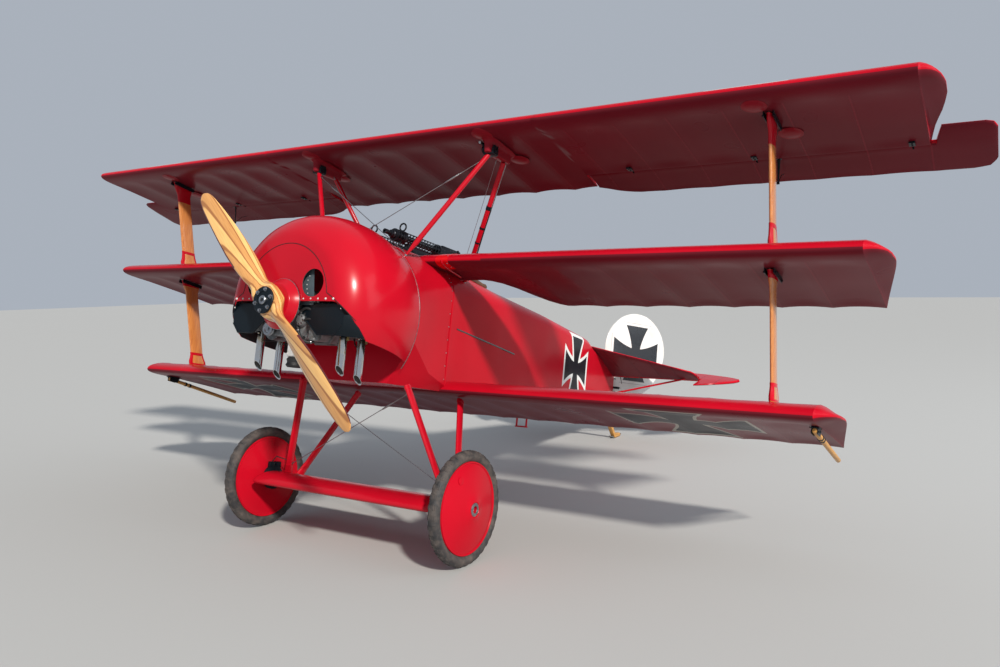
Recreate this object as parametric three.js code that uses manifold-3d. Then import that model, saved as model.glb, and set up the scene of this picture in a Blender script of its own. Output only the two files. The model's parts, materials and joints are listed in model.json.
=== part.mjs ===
// Single-seat vintage fighter triplane, parked tail-down on two wheels and a skid.
// Flight axes: X forward from the propeller hub, Y to port, Z up, in millimetres.
// The whole aeroplane is then pitched nose-up until wheels and skid share one floor.
import * as THREE from 'three';
import { mergeVertices } from 'three/addons/utils/BufferGeometryUtils.js';
import Module from 'manifold-3d';

const wasm = await Module();
wasm.setup();

// Driving dimensions
const PARKED_PITCH = THREE.MathUtils.degToRad(11.8);
const CHORD = 1000;
const INCIDENCE = 0.14;
const CAMBER = 0.05;
const CAMBER_AT = 0.35;
const THICKNESS = 0.125;
const FIT = 0.4;

const UPPER = { noseX: -880, noseZ: 1285, ribY: 3280, tipY: 3400 };
const MIDDLE = { noseX: -1070, noseZ: 462, ribY: 3046, tipY: 3162 };
const LOWER = { noseX: -1283, noseZ: -388, ribY: 2808, tipY: 2920 };

const AILERON = {
  hingeX: -1705, innerY: 1180, hornY: 3600, hornX: -1545, trailX: -1975, noseR: 17, gap: 13, droop: 0.13,
};
const SPAR_BACK = 310;
const STRUT_Y = 2534;
const STRUT = { chord: 130, thick: 32, flare: 1.35 };

const COWL_BACK = -786;
const STERN_X = -4962;
const COWL = { centreZ: 20, wall: 8, faceX: -150, faceR: 420, shaftR: 150, eyeY: 245, eyeZ: 133, eyeR: 78 };
const COCKPIT = { front: -1520, back: -2060, halfY: 235, floorZ: -290, deckZ: 250 };

const AXLE = { x: -1005, z: -1112, radius: 22 };
const WHEEL = { y: 873, radius: 355, width: 76, rimR: 287, coverDepth: 72 };
const FAIRING = { nose: -775, chord: 520, halfY: 772, depth: 95 };
const GEAR_LEG = { wide: 62, thin: 30 };

const PROP = { radius: 1006, front: -12, back: -102, bossR: 86, photoTurn: THREE.MathUtils.degToRad(46.5) };
const BOWL = { back: -145, backR: 154, front: -90, frontR: 118 };
const PITCH_ADVANCE = 1150;

const TAIL = { rootX: -4180, rootZ: 272, hingeX: -4935, hingeZ: 50, tipY: 985, thick: 30, clear: 12 };
const ELEVATOR = { tipY: 1372, trailX: -5300, tubeR: 12, parked: THREE.MathUtils.degToRad(32) };
const RUDDER = {
  hingeX: -5000, thick: 34, centreX: -5262, centreZ: 385, radius: 385, footZ: -190, parked: THREE.MathUtils.degToRad(-30),
};

const SKID_X = -5170;
const GUN = { y: 128, z: 606, muzzle: -873, jacketR: 40, jacketEnd: -1440, breech: -1760 };

const parkedSin = Math.sin(PARKED_PITCH);
const parkedCos = Math.cos(PARKED_PITCH);
const floorLevel = parkedSin * AXLE.x + parkedCos * AXLE.z - WHEEL.radius;
const groundZ = (x) => (floorLevel - parkedSin * x) / parkedCos;

// Paints and metals, as colour, roughness and metalness
const FINISH = {
  red: [0xb01226, 0.3, 0.0],
  wood: [0xc9824a, 0.4, 0.0],
  black: [0x1c1d20, 0.5, 0.2],
  steel: [0x8b8e92, 0.35, 0.9],
  chrome: [0xd4d6d8, 0.12, 1.0],
  alloy: [0x9a9ea4, 0.45, 0.8],
  rubber: [0x2b2523, 0.9, 0.0],
  white: [0xe6e7ea, 0.4, 0.0],
  leather: [0x4b2a1a, 0.6, 0.0],
};

const airframe = new THREE.Group();

function add(name, geometry, finish) {
  const [color, roughness, metalness] = FINISH[finish];
  const mesh = new THREE.Mesh(geometry, new THREE.MeshStandardMaterial({ color, roughness, metalness }));
  mesh.name = name;
  airframe.add(mesh);
  return mesh;
}

// Solids: a closed geometry becomes a manifold for cutting and joining, and comes back
function solid(geometry) {
  const bare = geometry.clone();
  bare.deleteAttribute('normal');
  bare.deleteAttribute('uv');
  const merged = mergeVertices(bare, 1e-3);
  const vertProperties = new Float32Array(merged.attributes.position.array);
  const triVerts = new Uint32Array(merged.index.array);
  return new wasm.Manifold(new wasm.Mesh({ numProp: 3, vertProperties, triVerts }));
}

function geometryOf(body) {
  const mesh = body.getMesh();
  const geometry = new THREE.BufferGeometry();
  geometry.setAttribute('position', new THREE.BufferAttribute(new Float32Array(mesh.vertProperties), 3));
  geometry.setIndex(new THREE.BufferAttribute(new Uint32Array(mesh.triVerts), 1));
  geometry.computeVertexNormals();
  return geometry;
}

const join = (...geometries) => geometryOf(geometries.map(solid).reduce((a, b) => a.add(b)));
const cut = (geometry, ...tools) => geometryOf(tools.map(solid).reduce((a, b) => a.subtract(b), solid(geometry)));

// The same shape swollen by the fitting gap, as a tool that leaves its neighbour clear
const eased = (geometry) => join(...[[FIT, 0, 0], [-FIT, 0, 0], [0, FIT, 0], [0, -FIT, 0], [0, 0, FIT], [0, 0, -FIT]]
  .map((shift) => geometry.clone().translate(...shift)));
const largest = (geometry) => geometryOf(solid(geometry).decompose().sort((a, b) => b.volume() - a.volume())[0]);
const common = (a, b) => geometryOf(solid(a).intersect(solid(b)));

// A skin through rings of equal point counts, with a flat cap at each end
function loft(rings) {
  const count = rings[0].length;
  const points = rings.flat();
  const faces = [];
  for (let r = 0; r + 1 < rings.length; r++) {
    for (let i = 0; i < count; i++) {
      const j = (i + 1) % count;
      const a = r * count;
      const b = a + count;
      faces.push([a + i, a + j, b + j], [a + i, b + j, b + i]);
    }
  }
  faces.push(...capFaces(rings[0], 0, true));
  faces.push(...capFaces(rings.at(-1), points.length - count, false));
  return closedMesh(points, faces);
}

function capFaces(ring, offset, reversed) {
  const normal = new THREE.Vector3();
  ring.forEach((p, i) => normal.add(new THREE.Vector3().crossVectors(p, ring[(i + 1) % ring.length])));
  normal.normalize();
  const side = new THREE.Vector3(0, 0, 1);
  if (Math.abs(normal.z) > 0.8) side.set(1, 0, 0);
  const u = new THREE.Vector3().crossVectors(side, normal).normalize();
  const v = new THREE.Vector3().crossVectors(normal, u);
  const flat = ring.map((p) => new THREE.Vector2(p.dot(u), p.dot(v)));
  return THREE.ShapeUtils.triangulateShape(flat, []).map(([a, b, c]) => {
    const turn = (flat[b].x - flat[a].x) * (flat[c].y - flat[a].y) - (flat[c].x - flat[a].x) * (flat[b].y - flat[a].y);
    const keep = (turn > 0) !== reversed;
    return keep ? [offset + a, offset + b, offset + c] : [offset + a, offset + c, offset + b];
  });
}

function closedMesh(points, faces) {
  let volume = 0;
  for (const [a, b, c] of faces) {
    volume += points[a].dot(new THREE.Vector3().crossVectors(points[b], points[c]));
  }
  const ordered = volume > 0 ? faces : faces.map(([a, b, c]) => [a, c, b]);
  const geometry = new THREE.BufferGeometry().setFromPoints(points);
  geometry.setIndex(ordered.flat());
  return geometry;
}

// A flat outline given as [forward, sideways] pairs, raised from z0 to z1
function planPrism(outline, z0, z1) {
  const shape = new THREE.Shape(outline.map(([x, y]) => new THREE.Vector2(x, y)));
  return new THREE.ExtrudeGeometry(shape, { depth: z1 - z0, bevelEnabled: false }).translate(0, 0, z0);
}

// A flat outline given as [forward, up] pairs, spread from y0 to y1
function sidePrism(outline, y0, y1) {
  const shape = new THREE.Shape(outline.map(([x, z]) => new THREE.Vector2(x, z)));
  const prism = new THREE.ExtrudeGeometry(shape, { depth: y1 - y0, bevelEnabled: false });
  return prism.rotateX(Math.PI / 2).translate(0, y1, 0);
}

function box(x0, x1, y0, y1, z0, z1) {
  const size = [Math.abs(x1 - x0), Math.abs(y1 - y0), Math.abs(z1 - z0)];
  return new THREE.BoxGeometry(...size).translate((x0 + x1) / 2, (y0 + y1) / 2, (z0 + z1) / 2);
}

// A turned profile of [along, radius] pairs about the Y line, with its faces pointing out
function turned(profile, sides) {
  const clockwise = profile.reduce((sum, [h, r], i) => {
    const [h2, r2] = profile[(i + 1) % profile.length];
    return sum + r * h2 - r2 * h;
  }, 0) < 0;
  const closed = profile[0][1] === 0 ? profile : [...profile, profile[0]];
  const ordered = clockwise ? closed.slice().reverse() : closed;
  return new THREE.LatheGeometry(ordered.map(([h, r]) => new THREE.Vector2(r, h)), sides);
}

// Turned about a fore-and-aft line, from [forward, radius] pairs
const turnedX = (profile, sides, y = 0, z = 0) => turned(profile, sides).rotateZ(-Math.PI / 2).translate(0, y, z);

// Turned about a sideways line, from [sideways, radius] pairs
const turnedY = (profile, sides, x, z) => turned(profile, sides).translate(x, 0, z);

// Turned about an upright line, from [up, radius] pairs
const turnedZ = (profile, sides, x, y) => turned(profile, sides).rotateX(Math.PI / 2).translate(x, y, 0);

// A round rod between two points
function rod(from, to, radius, sides = 10) {
  const a = new THREE.Vector3(...from);
  const b = new THREE.Vector3(...to);
  const geometry = new THREE.CylinderGeometry(radius, radius, a.distanceTo(b), sides);
  const turn = new THREE.Quaternion().setFromUnitVectors(
    new THREE.Vector3(0, 1, 0), b.clone().sub(a).normalize());
  return geometry.applyQuaternion(turn).translate(...a.add(b).multiplyScalar(0.5).toArray());
}

// A streamlined strut between two points: its long section axis lies fore and aft.
// stations are [share of length, width factor]
function strut(from, to, chord, thick, stations, sides = 12) {
  const a = new THREE.Vector3(...from);
  const b = new THREE.Vector3(...to);
  return loft(stations.map(([share, factor]) => {
    const centre = a.clone().lerp(b, share);
    return Array.from({ length: sides }, (_, i) => {
      const angle = (2 * Math.PI * i) / sides;
      return new THREE.Vector3(
        centre.x + (chord / 2) * factor * Math.cos(angle), centre.y + (thick / 2) * Math.sin(angle), centre.z);
    });
  }));
}

// Wing section: [aft share of chord, height share of chord], from upper tail over the nose to lower tail
const SECTION_STEPS = 9;
function section(thickness) {
  const shares = Array.from({ length: SECTION_STEPS + 1 }, (_, k) => (1 - Math.cos((Math.PI * k) / SECTION_STEPS)) / 2);
  const half = (s) => 5 * thickness * (0.2969 * Math.sqrt(s) - 0.126 * s - 0.3516 * s ** 2
    + 0.2843 * s ** 3 - 0.1036 * s ** 4) + 0.0025 * s;
  const mean = (s) => (s < CAMBER_AT
    ? (CAMBER / CAMBER_AT ** 2) * (2 * CAMBER_AT * s - s ** 2)
    : (CAMBER / (1 - CAMBER_AT) ** 2) * (1 - 2 * CAMBER_AT + 2 * CAMBER_AT * s - s ** 2));
  const upper = shares.map((s) => [s, mean(s) + half(s)]);
  const lower = shares.map((s) => [s, mean(s) - half(s)]);
  return [...upper.reverse(), ...lower.slice(1)];
}

// One wing rib ring at a span station, between the nose line and the tail line there
function ribRing(wing, y, front, back, plump) {
  const chord = front - back;
  return section(THICKNESS * plump).map(([aft, up]) => {
    const x = front - aft * chord;
    const drop = INCIDENCE * (wing.noseX - x);
    return new THREE.Vector3(x, y, wing.noseZ - drop + up * CHORD * Math.min(1, plump * 1.4));
  });
}

// A tip's bow past the last rib: [share of its width, nose cut, tail cut, plumpness]
const STRAIGHT_BOW = [
  [0, 0, 0, 1], [0.15, 20, 95, 0.86], [0.5, 60, 310, 0.6], [0.85, 150, 530, 0.33], [1, 290, 640, 0.14],
];
// The upper wing's bow starts further in, because an aileron's horn stands behind it
const HORN_BOW = [
  [-0.67, 0, 0, 1], [0, 12, 255, 0.92], [0.5, 55, 420, 0.6], [0.85, 130, 560, 0.33], [1, 240, 660, 0.14],
];

// The last stations of half a wing, out to its tip: [y, nose x, tail x, plumpness]
function tipStations(wing, tailX) {
  const outline = wing === UPPER ? HORN_BOW : STRAIGHT_BOW;
  return outline.map(([share, noseCut, tailCut, plump]) => [
    wing.ribY + (wing.tipY - wing.ribY) * share, wing.noseX - noseCut, tailX + tailCut, plump,
  ]);
}

function wingSolid(wing) {
  const tailX = wing.noseX - CHORD;
  const port = [[0, wing.noseX, tailX, 1], ...tipStations(wing, tailX)];
  const starboard = port.slice(1).map(([y, ...rest]) => [-y, ...rest]).reverse();
  return loft([...starboard, ...port].map((station) => ribRing(wing, ...station)));
}

// Height of the underside or top of a wing at a distance behind its nose
function wingHeight(wing, x, top) {
  const share = (wing.noseX - x) / CHORD;
  const ring = section(THICKNESS).filter((_, i) => (top ? i <= SECTION_STEPS : i >= SECTION_STEPS));
  const ordered = ring.slice().sort((a, b) => a[0] - b[0]);
  const next = ordered.findIndex(([s]) => s >= share);
  const [s0, h0] = ordered[next - 1];
  const [s1, h1] = ordered[next];
  const height = h0 + ((h1 - h0) * (share - s0)) / (s1 - s0);
  return wing.noseZ - INCIDENCE * (wing.noseX - x) + height * CHORD;
}

const spar = (wing) => wing.noseX - SPAR_BACK;
const mirrored = [['left', 1], ['right', -1]];
const mirrorPlan = (outline, side) => outline.map(([x, y]) => [x, y * side]);

// The room each wing takes out of what it passes through
const upperRoom = eased(wingSolid(UPPER));
const lowerRoom = eased(wingSolid(LOWER));

// Wings: three thick cantilever planes, the upper one with bays for its ailerons
const aileronFront = AILERON.hingeX + AILERON.noseR + AILERON.gap;
const aileronBay = (side) => planPrism(mirrorPlan([
  [aileronFront, AILERON.innerY - AILERON.gap],
  [aileronFront, UPPER.tipY + 60],
  [UPPER.noseX - CHORD - 60, UPPER.tipY + 60],
  [UPPER.noseX - CHORD - 60, AILERON.innerY - AILERON.gap],
], side), UPPER.noseZ - 300, UPPER.noseZ + 200);
const rootSweep = [
  [-1445, 0], [-1445, 560], [-1490, 640], [-1600, 700], [-1760, 745], [-1900, 790], [-2000, 850], [-2090, 960],
  [-2300, 1000], [-2300, 0],
];
const rootCut = (side) => planPrism(mirrorPlan(rootSweep, side), MIDDLE.noseZ - 300, MIDDLE.noseZ + 200);
const middleWing = cut(wingSolid(MIDDLE), rootCut(1), rootCut(-1));
add('middle_wing', middleWing, 'red');
add('lower_wing', wingSolid(LOWER), 'red');
const middleRoom = eased(middleWing);
const wingRoom = new Map([[UPPER, upperRoom], [MIDDLE, middleRoom], [LOWER, lowerRoom]]);

// Ailerons: a flat tapering flap with a square horn ahead of the hinge, outside the wing tip
const hornZ = wingHeight(UPPER, AILERON.hingeX, true) / 2 + wingHeight(UPPER, AILERON.hingeX, false) / 2;
const aileronDrop = INCIDENCE + AILERON.droop;
const aileronOutline = [
  [AILERON.hingeX + AILERON.noseR, AILERON.innerY], [AILERON.hingeX + AILERON.noseR, 3306], [AILERON.hornX, 3340],
  [AILERON.hornX, 3545], [AILERON.hornX - 16, 3583], [AILERON.hornX - 55, AILERON.hornY],
  [AILERON.trailX + 75, AILERON.hornY - 6], [AILERON.trailX + 20, 3562], [AILERON.trailX, 3490],
  [AILERON.trailX, 1440], [AILERON.trailX + 35, 1330], [AILERON.trailX + 75, 1245], [AILERON.trailX + 100, AILERON.innerY],
];
function aileron(side) {
  const at = (x, up) => [x, hornZ - aileronDrop * (AILERON.hingeX - x) + up];
  const nose = AILERON.noseR;
  const flap = sidePrism([
    at(AILERON.hornX - 1, 5), at(AILERON.hornX - 50, nose - 3), at(AILERON.hingeX, nose),
    at(AILERON.trailX - 1, 3), at(AILERON.trailX - 1, -3), at(AILERON.hingeX, -nose),
    at(AILERON.hornX - 50, 3 - nose), at(AILERON.hornX - 1, -5),
  ], side > 0 ? 0 : -AILERON.hornY - 20, side > 0 ? AILERON.hornY + 20 : 0);
  return common(flap, planPrism(mirrorPlan(aileronOutline, side), hornZ - 200, hornZ + 200));
}

// Fuselage: flat steel-tube sides and belly under a rounded deck
const FRAMES = [
  // x, half width, belly half width, belly z, corner z, shoulder z, ridge z
  [COWL_BACK - FIT, 520, 330, -396, -130, 110, 554],
  [-1060, 452, 380, -400, -300, 205, 552],
  [-1400, 402, 386, -402, -390, 290, 548],
  [-2075, 352, 342, -388, -378, 305, 472],
  [-3000, 272, 264, -335, -327, 290, 425],
  [-4040, 146, 138, -250, -243, 262, 352],
  [-4180, 126, 120, -238, -232, 232, 270],
  [-4600, 70, 65, -212, -206, 146, 156],
  [STERN_X, 20, 17, -190, -186, 38, 44],
];
const DECK_STEPS = 8;
function frameRing([x, half, bellyHalf, belly, corner, shoulder, ridge]) {
  const deck = Array.from({ length: DECK_STEPS + 1 }, (_, i) => {
    const angle = (Math.PI * i) / DECK_STEPS;
    return new THREE.Vector3(x, half * Math.cos(angle), shoulder + (ridge - shoulder) * Math.sin(angle));
  });
  const at = (y, z) => new THREE.Vector3(x, y, z);
  return [at(-bellyHalf, belly), at(bellyHalf, belly), at(half, corner), ...deck, at(-half, corner)];
}
const cockpitWell = box(COCKPIT.back - 60, COCKPIT.front + 60, -COCKPIT.halfY - 60, COCKPIT.halfY + 60,
  COCKPIT.floorZ, COCKPIT.deckZ);
const cockpitMouth = planPrism([
  [COCKPIT.front, -120], [COCKPIT.front, 120], [COCKPIT.front - 50, 200], [COCKPIT.front - 140, COCKPIT.halfY],
  [COCKPIT.back + 160, COCKPIT.halfY], [COCKPIT.back + 50, 190], [COCKPIT.back, 100], [COCKPIT.back, -100],
  [COCKPIT.back + 50, -190], [COCKPIT.back + 160, -COCKPIT.halfY], [COCKPIT.front - 140, -COCKPIT.halfY],
  [COCKPIT.front - 50, -200],
], COCKPIT.floorZ + 100, 800);
const cockpitSpace = join(cockpitWell, cockpitMouth);
const hull = loft(FRAMES.map(frameRing));

// Cowling: one bulged shell of revolution, cut away steeply below the shaft
const cowlSkin = [
  [COWL.faceX, COWL.shaftR], [COWL.faceX - 6, COWL.faceR], [-180, 458], [-232, 520], [-305, 562], [-405, 586],
  [-520, 591], [-650, 577], [COWL_BACK, 540],
];
const cowlLining = cowlSkin.map(([x, r]) => [x - (x > -200 ? COWL.wall : 0), r - (x > -160 ? 0 : COWL.wall)]).reverse();
const cowlRing = [...cowlSkin, ...cowlLining];
const chin = sidePrism([
  [-100, 20], [COWL.faceX - 12, 20], [-240, -90], [-330, -220], [-820, -300], [-820, -800], [-100, -800],
], -800, 800);
const eyes = mirrored.map(([, side]) => turnedX([[-120, 0], [-120, COWL.eyeR], [-230, COWL.eyeR], [-230, 0]], 20,
  side * COWL.eyeY, COWL.eyeZ));
const cowling = cut(turnedX(cowlRing, 36, 0, COWL.centreZ), chin, ...eyes);
add('cowling', cowling, 'red');

// Black baffle sheets that close the cut on each side of the engine
const BAFFLE = { x: -196, thick: 4 };
for (const [name, side] of mirrored) {
  const sheet = [[125, 12], [440, 12], [466, -50], [452, -130], [400, -205], [212, -205], [196, -100], [125, -40]];
  const shape = new THREE.Shape(sheet.map(([y, z]) => new THREE.Vector2(y * side, z)));
  const plate = new THREE.ExtrudeGeometry(shape, { depth: BAFFLE.thick, bevelEnabled: false });
  plate.rotateX(Math.PI / 2).rotateZ(Math.PI / 2).translate(BAFFLE.x, 0, 0);
  add(`baffle_${name}`, largest(cut(plate, eased(cowling))), 'black');
}

// Engine: crankcase block with nose, four level cylinders with fins
const ENGINE = { front: -215, back: -620, halfY: 165, low: -185, high: 110, shaftR: 60, cylinderZ: -70, headR: 84 };
const cylinderRow = [[-335, -1], [-335, 1], [-500, -1], [-500, 1]];
function cylinderProfile(side) {
  const profile = [[ENGINE.halfY - 10, 0], [ENGINE.halfY - 10, 62]];
  for (const y of [190, 234, 278]) {
    profile.push([y, 62], [y, 78], [y + 20, 78], [y + 20, 62]);
  }
  profile.push([316, 62], [316, ENGINE.headR], [430, ENGINE.headR], [430, 0]);
  return profile.map(([y, r]) => [y * side, r]);
}
const crankcase = box(ENGINE.front, ENGINE.back, -ENGINE.halfY, ENGINE.halfY, ENGINE.low, ENGINE.high);
const shaftFront = BOWL.back - FIT;
const shaftNose = turnedX([[shaftFront, 0], [shaftFront, ENGINE.shaftR], [-230, 90], [-230, 0]], 16);
const cylinders = cylinderRow.map(([x, side]) => turnedY(cylinderProfile(side), 12, x, ENGINE.cylinderZ));
const bearers = [[-110, -130], [110, -130], [-110, 60], [110, 60]].map(([y, z]) => rod(
  [ENGINE.back + 20, y, z], [COWL_BACK, y, z], 15, 8));
add('engine', join(crankcase, shaftNose, ...cylinders, ...bearers), 'alloy');

// Exhaust stacks: four pipes hanging from the cylinders, cut obliquely at the foot
const STACK = { radius: 24, bore: 21, y: 345, top: -130, foot: -385, slant: 40 };
cylinderRow.forEach(([x, side], i) => {
  const pipe = turnedZ([
    [STACK.top, 0], [STACK.top, STACK.radius], [STACK.foot - STACK.slant, STACK.radius],
    [STACK.foot - STACK.slant, STACK.bore], [STACK.top - 90, STACK.bore], [STACK.top - 90, 0],
  ], 14, x, side * STACK.y);
  const y0 = side * STACK.y;
  const trim = sidePrism([
    [x - 60, STACK.foot - STACK.slant * 0.9], [x + 60, STACK.foot + STACK.slant * 0.9],
    [x + 60, STACK.foot - 90], [x - 60, STACK.foot - 90],
  ], y0 - 60, y0 + 60);
  const head = [[300, 0], [300, ENGINE.headR + FIT], [440, ENGINE.headR + FIT], [440, 0]];
  const headRoom = turnedY(head.map(([y, r]) => [y * side, r]), 12, x, ENGINE.cylinderZ);
  add(`exhaust_${i + 1}`, largest(cut(pipe, trim, headRoom)), 'chrome');
});

// Intake box under the crankcase with its round hose end, and the alternator pulley
const intake = box(-335, -275, -45, 45, -300, ENGINE.low - FIT);
const hoseEnd = turnedZ([[-300, 0], [-300, 40], [-362, 40], [-362, 0]], 16, -305, 0);
add('intake_box', join(intake, hoseEnd), 'alloy');
add('pulley', turnedX([[-180, 0], [-180, 40], [-190, 34], [-200, 40], [ENGINE.front + FIT, 18],
  [ENGINE.front + FIT, 0]], 20, -130, -145), 'steel');

// Interplane struts: one spruce piece above the middle wing and one below it, on each side
const strutLine = (z) => {
  const low = [spar(LOWER), wingHeight(LOWER, spar(LOWER), true)];
  const high = [spar(UPPER), wingHeight(UPPER, spar(UPPER), false)];
  return low[0] + ((high[0] - low[0]) * (z - low[1])) / (high[1] - low[1]);
};
const flared = [[0, STRUT.flare], [0.04, STRUT.flare], [0.09, 1], [0.91, 1], [0.96, STRUT.flare], [1, STRUT.flare]];
// Strut ends are trimmed to the wings that they bed on
function interplane(side, below, above) {
  const x0 = strutLine(below.noseZ);
  const x1 = strutLine(above.noseZ);
  const from = [x0, side * STRUT_Y, below.noseZ];
  const to = [x1, side * STRUT_Y, above.noseZ];
  const post = strut(from, to, STRUT.chord, STRUT.thick, flared);
  return cut(post, wingRoom.get(below), wingRoom.get(above));
}
for (const [name, side] of mirrored) {
  add(`strut_${name}_upper`, largest(interplane(side, MIDDLE, UPPER)), 'wood');
  add(`strut_${name}_lower`, largest(interplane(side, LOWER, MIDDLE)), 'wood');
}

// Cabane: an inverted V each side, from the deck to a long fitting under the upper spar
const CABANE = { y: 765, top: 1168, radius: 17 };
const CABANE_FITTING = { front: -1010, back: -1290, halfY: 30, foot: 1158 };
const cabaneLegs = [
  // name, foot, x where it meets the fitting
  ['front', [-806, 330, 400], -1062],
  ['rear', [-1500, 352, 380], -1236],
];
const deckRoom = eased(hull);
const cabaneRooms = [];
for (const [name, side] of mirrored) {
  const { front, back, halfY, foot: low } = CABANE_FITTING;
  const block = box(back, front, side * CABANE.y - halfY, side * CABANE.y + halfY, low, UPPER.noseZ);
  const fitting = largest(cut(block, upperRoom));
  cabaneRooms.push(eased(fitting));
  add(`cabane_fitting_${name}`, fitting, 'red');
  for (const [which, foot, topX] of cabaneLegs) {
    const leg = rod([foot[0], foot[1] * side, foot[2]], [topX, CABANE.y * side, CABANE.top], CABANE.radius, 10);
    const trimmed = largest(cut(leg, deckRoom, middleRoom, ...cabaneRooms));
    cabaneRooms.push(eased(trimmed));
    add(`cabane_${name}_${which}`, trimmed, 'red');
  }
}

// Undercarriage: two streamlined steel legs each side, a through axle and its lifting fairing
const legs = [['front', [-815, 405, -270], [-1050, 700, -1090]], ['rear', [-1480, 430, -360], [-1165, 700, -1090]]];
const fairingSection = section(0.17).map(([aft, up]) => [FAIRING.nose - aft * FAIRING.chord,
  AXLE.z + (up - 0.045) * FAIRING.chord + 6]);
const fairingBlock = sidePrism(fairingSection, -FAIRING.halfY, FAIRING.halfY);
const axle = rod([AXLE.x, -WHEEL.y - 52, AXLE.z], [AXLE.x, WHEEL.y + 52, AXLE.z], AXLE.radius, 14);
const axleRoom = eased(axle);
add('axle', axle, 'steel');
add('axle_fairing', cut(fairingBlock, axleRoom), 'red');
const fairingRoom = eased(fairingBlock);
const legRooms = [];
for (const [name, side] of mirrored) {
  for (const [which, top, foot] of legs) {
    const leg = strut([top[0], top[1] * side, top[2]], [foot[0], foot[1] * side, foot[2]],
      GEAR_LEG.wide, GEAR_LEG.thin, [[0, 1], [1, 1]], 10);
    const trimmed = largest(cut(leg, fairingRoom, lowerRoom, deckRoom, ...legRooms));
    legRooms.push(eased(trimmed));
    add(`gear_leg_${name}_${which}`, trimmed, 'red');
  }
}

// Bracing: the crossed cable pairs that hold cabane and undercarriage square
const CABLE = { radius: 3, lead: 5 };
function crossedPair(name, low, high, rooms) {
  [1, -1].forEach((side, i) => {
    const shift = i === 0 ? CABLE.lead : -CABLE.lead;
    const cable = rod([low[0] + shift, low[1] * side, low[2]], [high[0] + shift, -high[1] * side, high[2]],
      CABLE.radius, 6);
    add(`${name}_${i + 1}`, largest(cut(cable, ...rooms)), 'steel');
  });
}
crossedPair('cabane_cable', [-808, 352, 455], [-1049, 735, 1128], [...cabaneRooms, deckRoom]);
crossedPair('gear_cable', [-900, 436, -440], [-1040, 668, -1010], [...legRooms, lowerRoom, fairingRoom]);

// Wheels: a tyre round a coned cover on both sides, turning on the axle, with a brake drum inboard
const DRUM = { radius: 84, from: 782, to: 816 };
const HUB_BORE = AXLE.radius + 0.5;
const TYRE_ARC = { start: -Math.PI / 6, end: (7 * Math.PI) / 6, steps: 8 };
for (const [name, side] of mirrored) {
  const half = WHEEL.width / 2;
  const arc = Array.from({ length: TYRE_ARC.steps + 1 }, (_, i) => {
    const angle = TYRE_ARC.start + ((TYRE_ARC.end - TYRE_ARC.start) * i) / TYRE_ARC.steps;
    return [half * Math.cos(angle), WHEEL.radius - half + half * Math.sin(angle)];
  });
  const tyre = [...arc, [-22, WHEEL.rimR], [22, WHEEL.rimR]];
  const cover = [[22, WHEEL.rimR - FIT], [WHEEL.coverDepth, 58], [WHEEL.coverDepth + 8, 46],
    [WHEEL.coverDepth + 8, HUB_BORE], [-48, HUB_BORE], [-48, 95], [-22, WHEEL.rimR - FIT]];
  const place = (profile) => profile.map(([y, r]) => [side * (y + WHEEL.y), r]);
  add(`tyre_${name}`, turnedY(place(tyre), 40, AXLE.x, AXLE.z), 'rubber');
  add(`wheel_cover_${name}`, turnedY(place(cover), 40, AXLE.x, AXLE.z), 'red');
  const drum = turnedY([[DRUM.from, HUB_BORE], [DRUM.from, DRUM.radius], [DRUM.to, DRUM.radius],
    [DRUM.to, HUB_BORE]].map(([y, r]) => [side * y, r]), 24, AXLE.x, AXLE.z);
  add(`brake_drum_${name}`, drum, 'black');
}

// Propeller: a laminated two-blade airscrew on a red back bowl, clamped by a bolted plate
const blade = [
  // radius, chord, thickness, forward offset of the section
  [60, 96, 78, 0], [130, 104, 62, 0], [220, 132, 46, 2], [340, 152, 32, 4], [480, 158, 24, 5], [640, 148, 18, 5],
  [800, 128, 14, 5], [920, 104, 11, 5], [980, 78, 9, 5], [PROP.radius, 40, 6, 5],
];
const propMiddle = (PROP.front + PROP.back) / 2;
function bladeRing([radius, chord, thick, ahead], sides = 12) {
  const twist = Math.min(Math.atan(PITCH_ADVANCE / (2 * Math.PI * radius)), 0.95);
  return Array.from({ length: sides }, (_, i) => {
    const angle = (2 * Math.PI * i) / sides;
    const across = (chord / 2) * Math.cos(angle);
    const through = (thick / 2) * Math.sin(angle) * (Math.sin(angle) > 0 ? 1.2 : 0.8);
    const forward = across * Math.sin(twist) + through * Math.cos(twist);
    const sideways = -across * Math.cos(twist) + through * Math.sin(twist);
    return new THREE.Vector3(propMiddle + ahead + forward, sideways, radius);
  });
}
const bladeUp = loft(blade.map((row) => bladeRing(row)));
const bladeDown = bladeUp.clone().rotateX(Math.PI);
const boss = turnedX([[PROP.back, 0], [PROP.back, PROP.bossR], [PROP.front, PROP.bossR], [PROP.front, 0]], 24);
const plateRoom = turnedX([[PROP.front, 0], [PROP.front, 84], [60, 84], [60, 0]], 28);
const airscrew = cut(join(bladeUp, bladeDown, boss), plateRoom).rotateX(PROP.photoTurn);
add('propeller', airscrew, 'wood');
add('hub_plate', turnedX([[PROP.front + FIT, 0], [PROP.front + FIT, 80], [-2, 80], [0, 76], [0, 0]], 28), 'black');
const bowl = turnedX([[BOWL.back, 0], [BOWL.back, BOWL.backR], [BOWL.back + 6, BOWL.backR], [BOWL.front, BOWL.frontR],
  [BOWL.front, 0]], 32);
add('back_bowl', largest(cut(bowl, eased(airscrew))), 'red');

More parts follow.
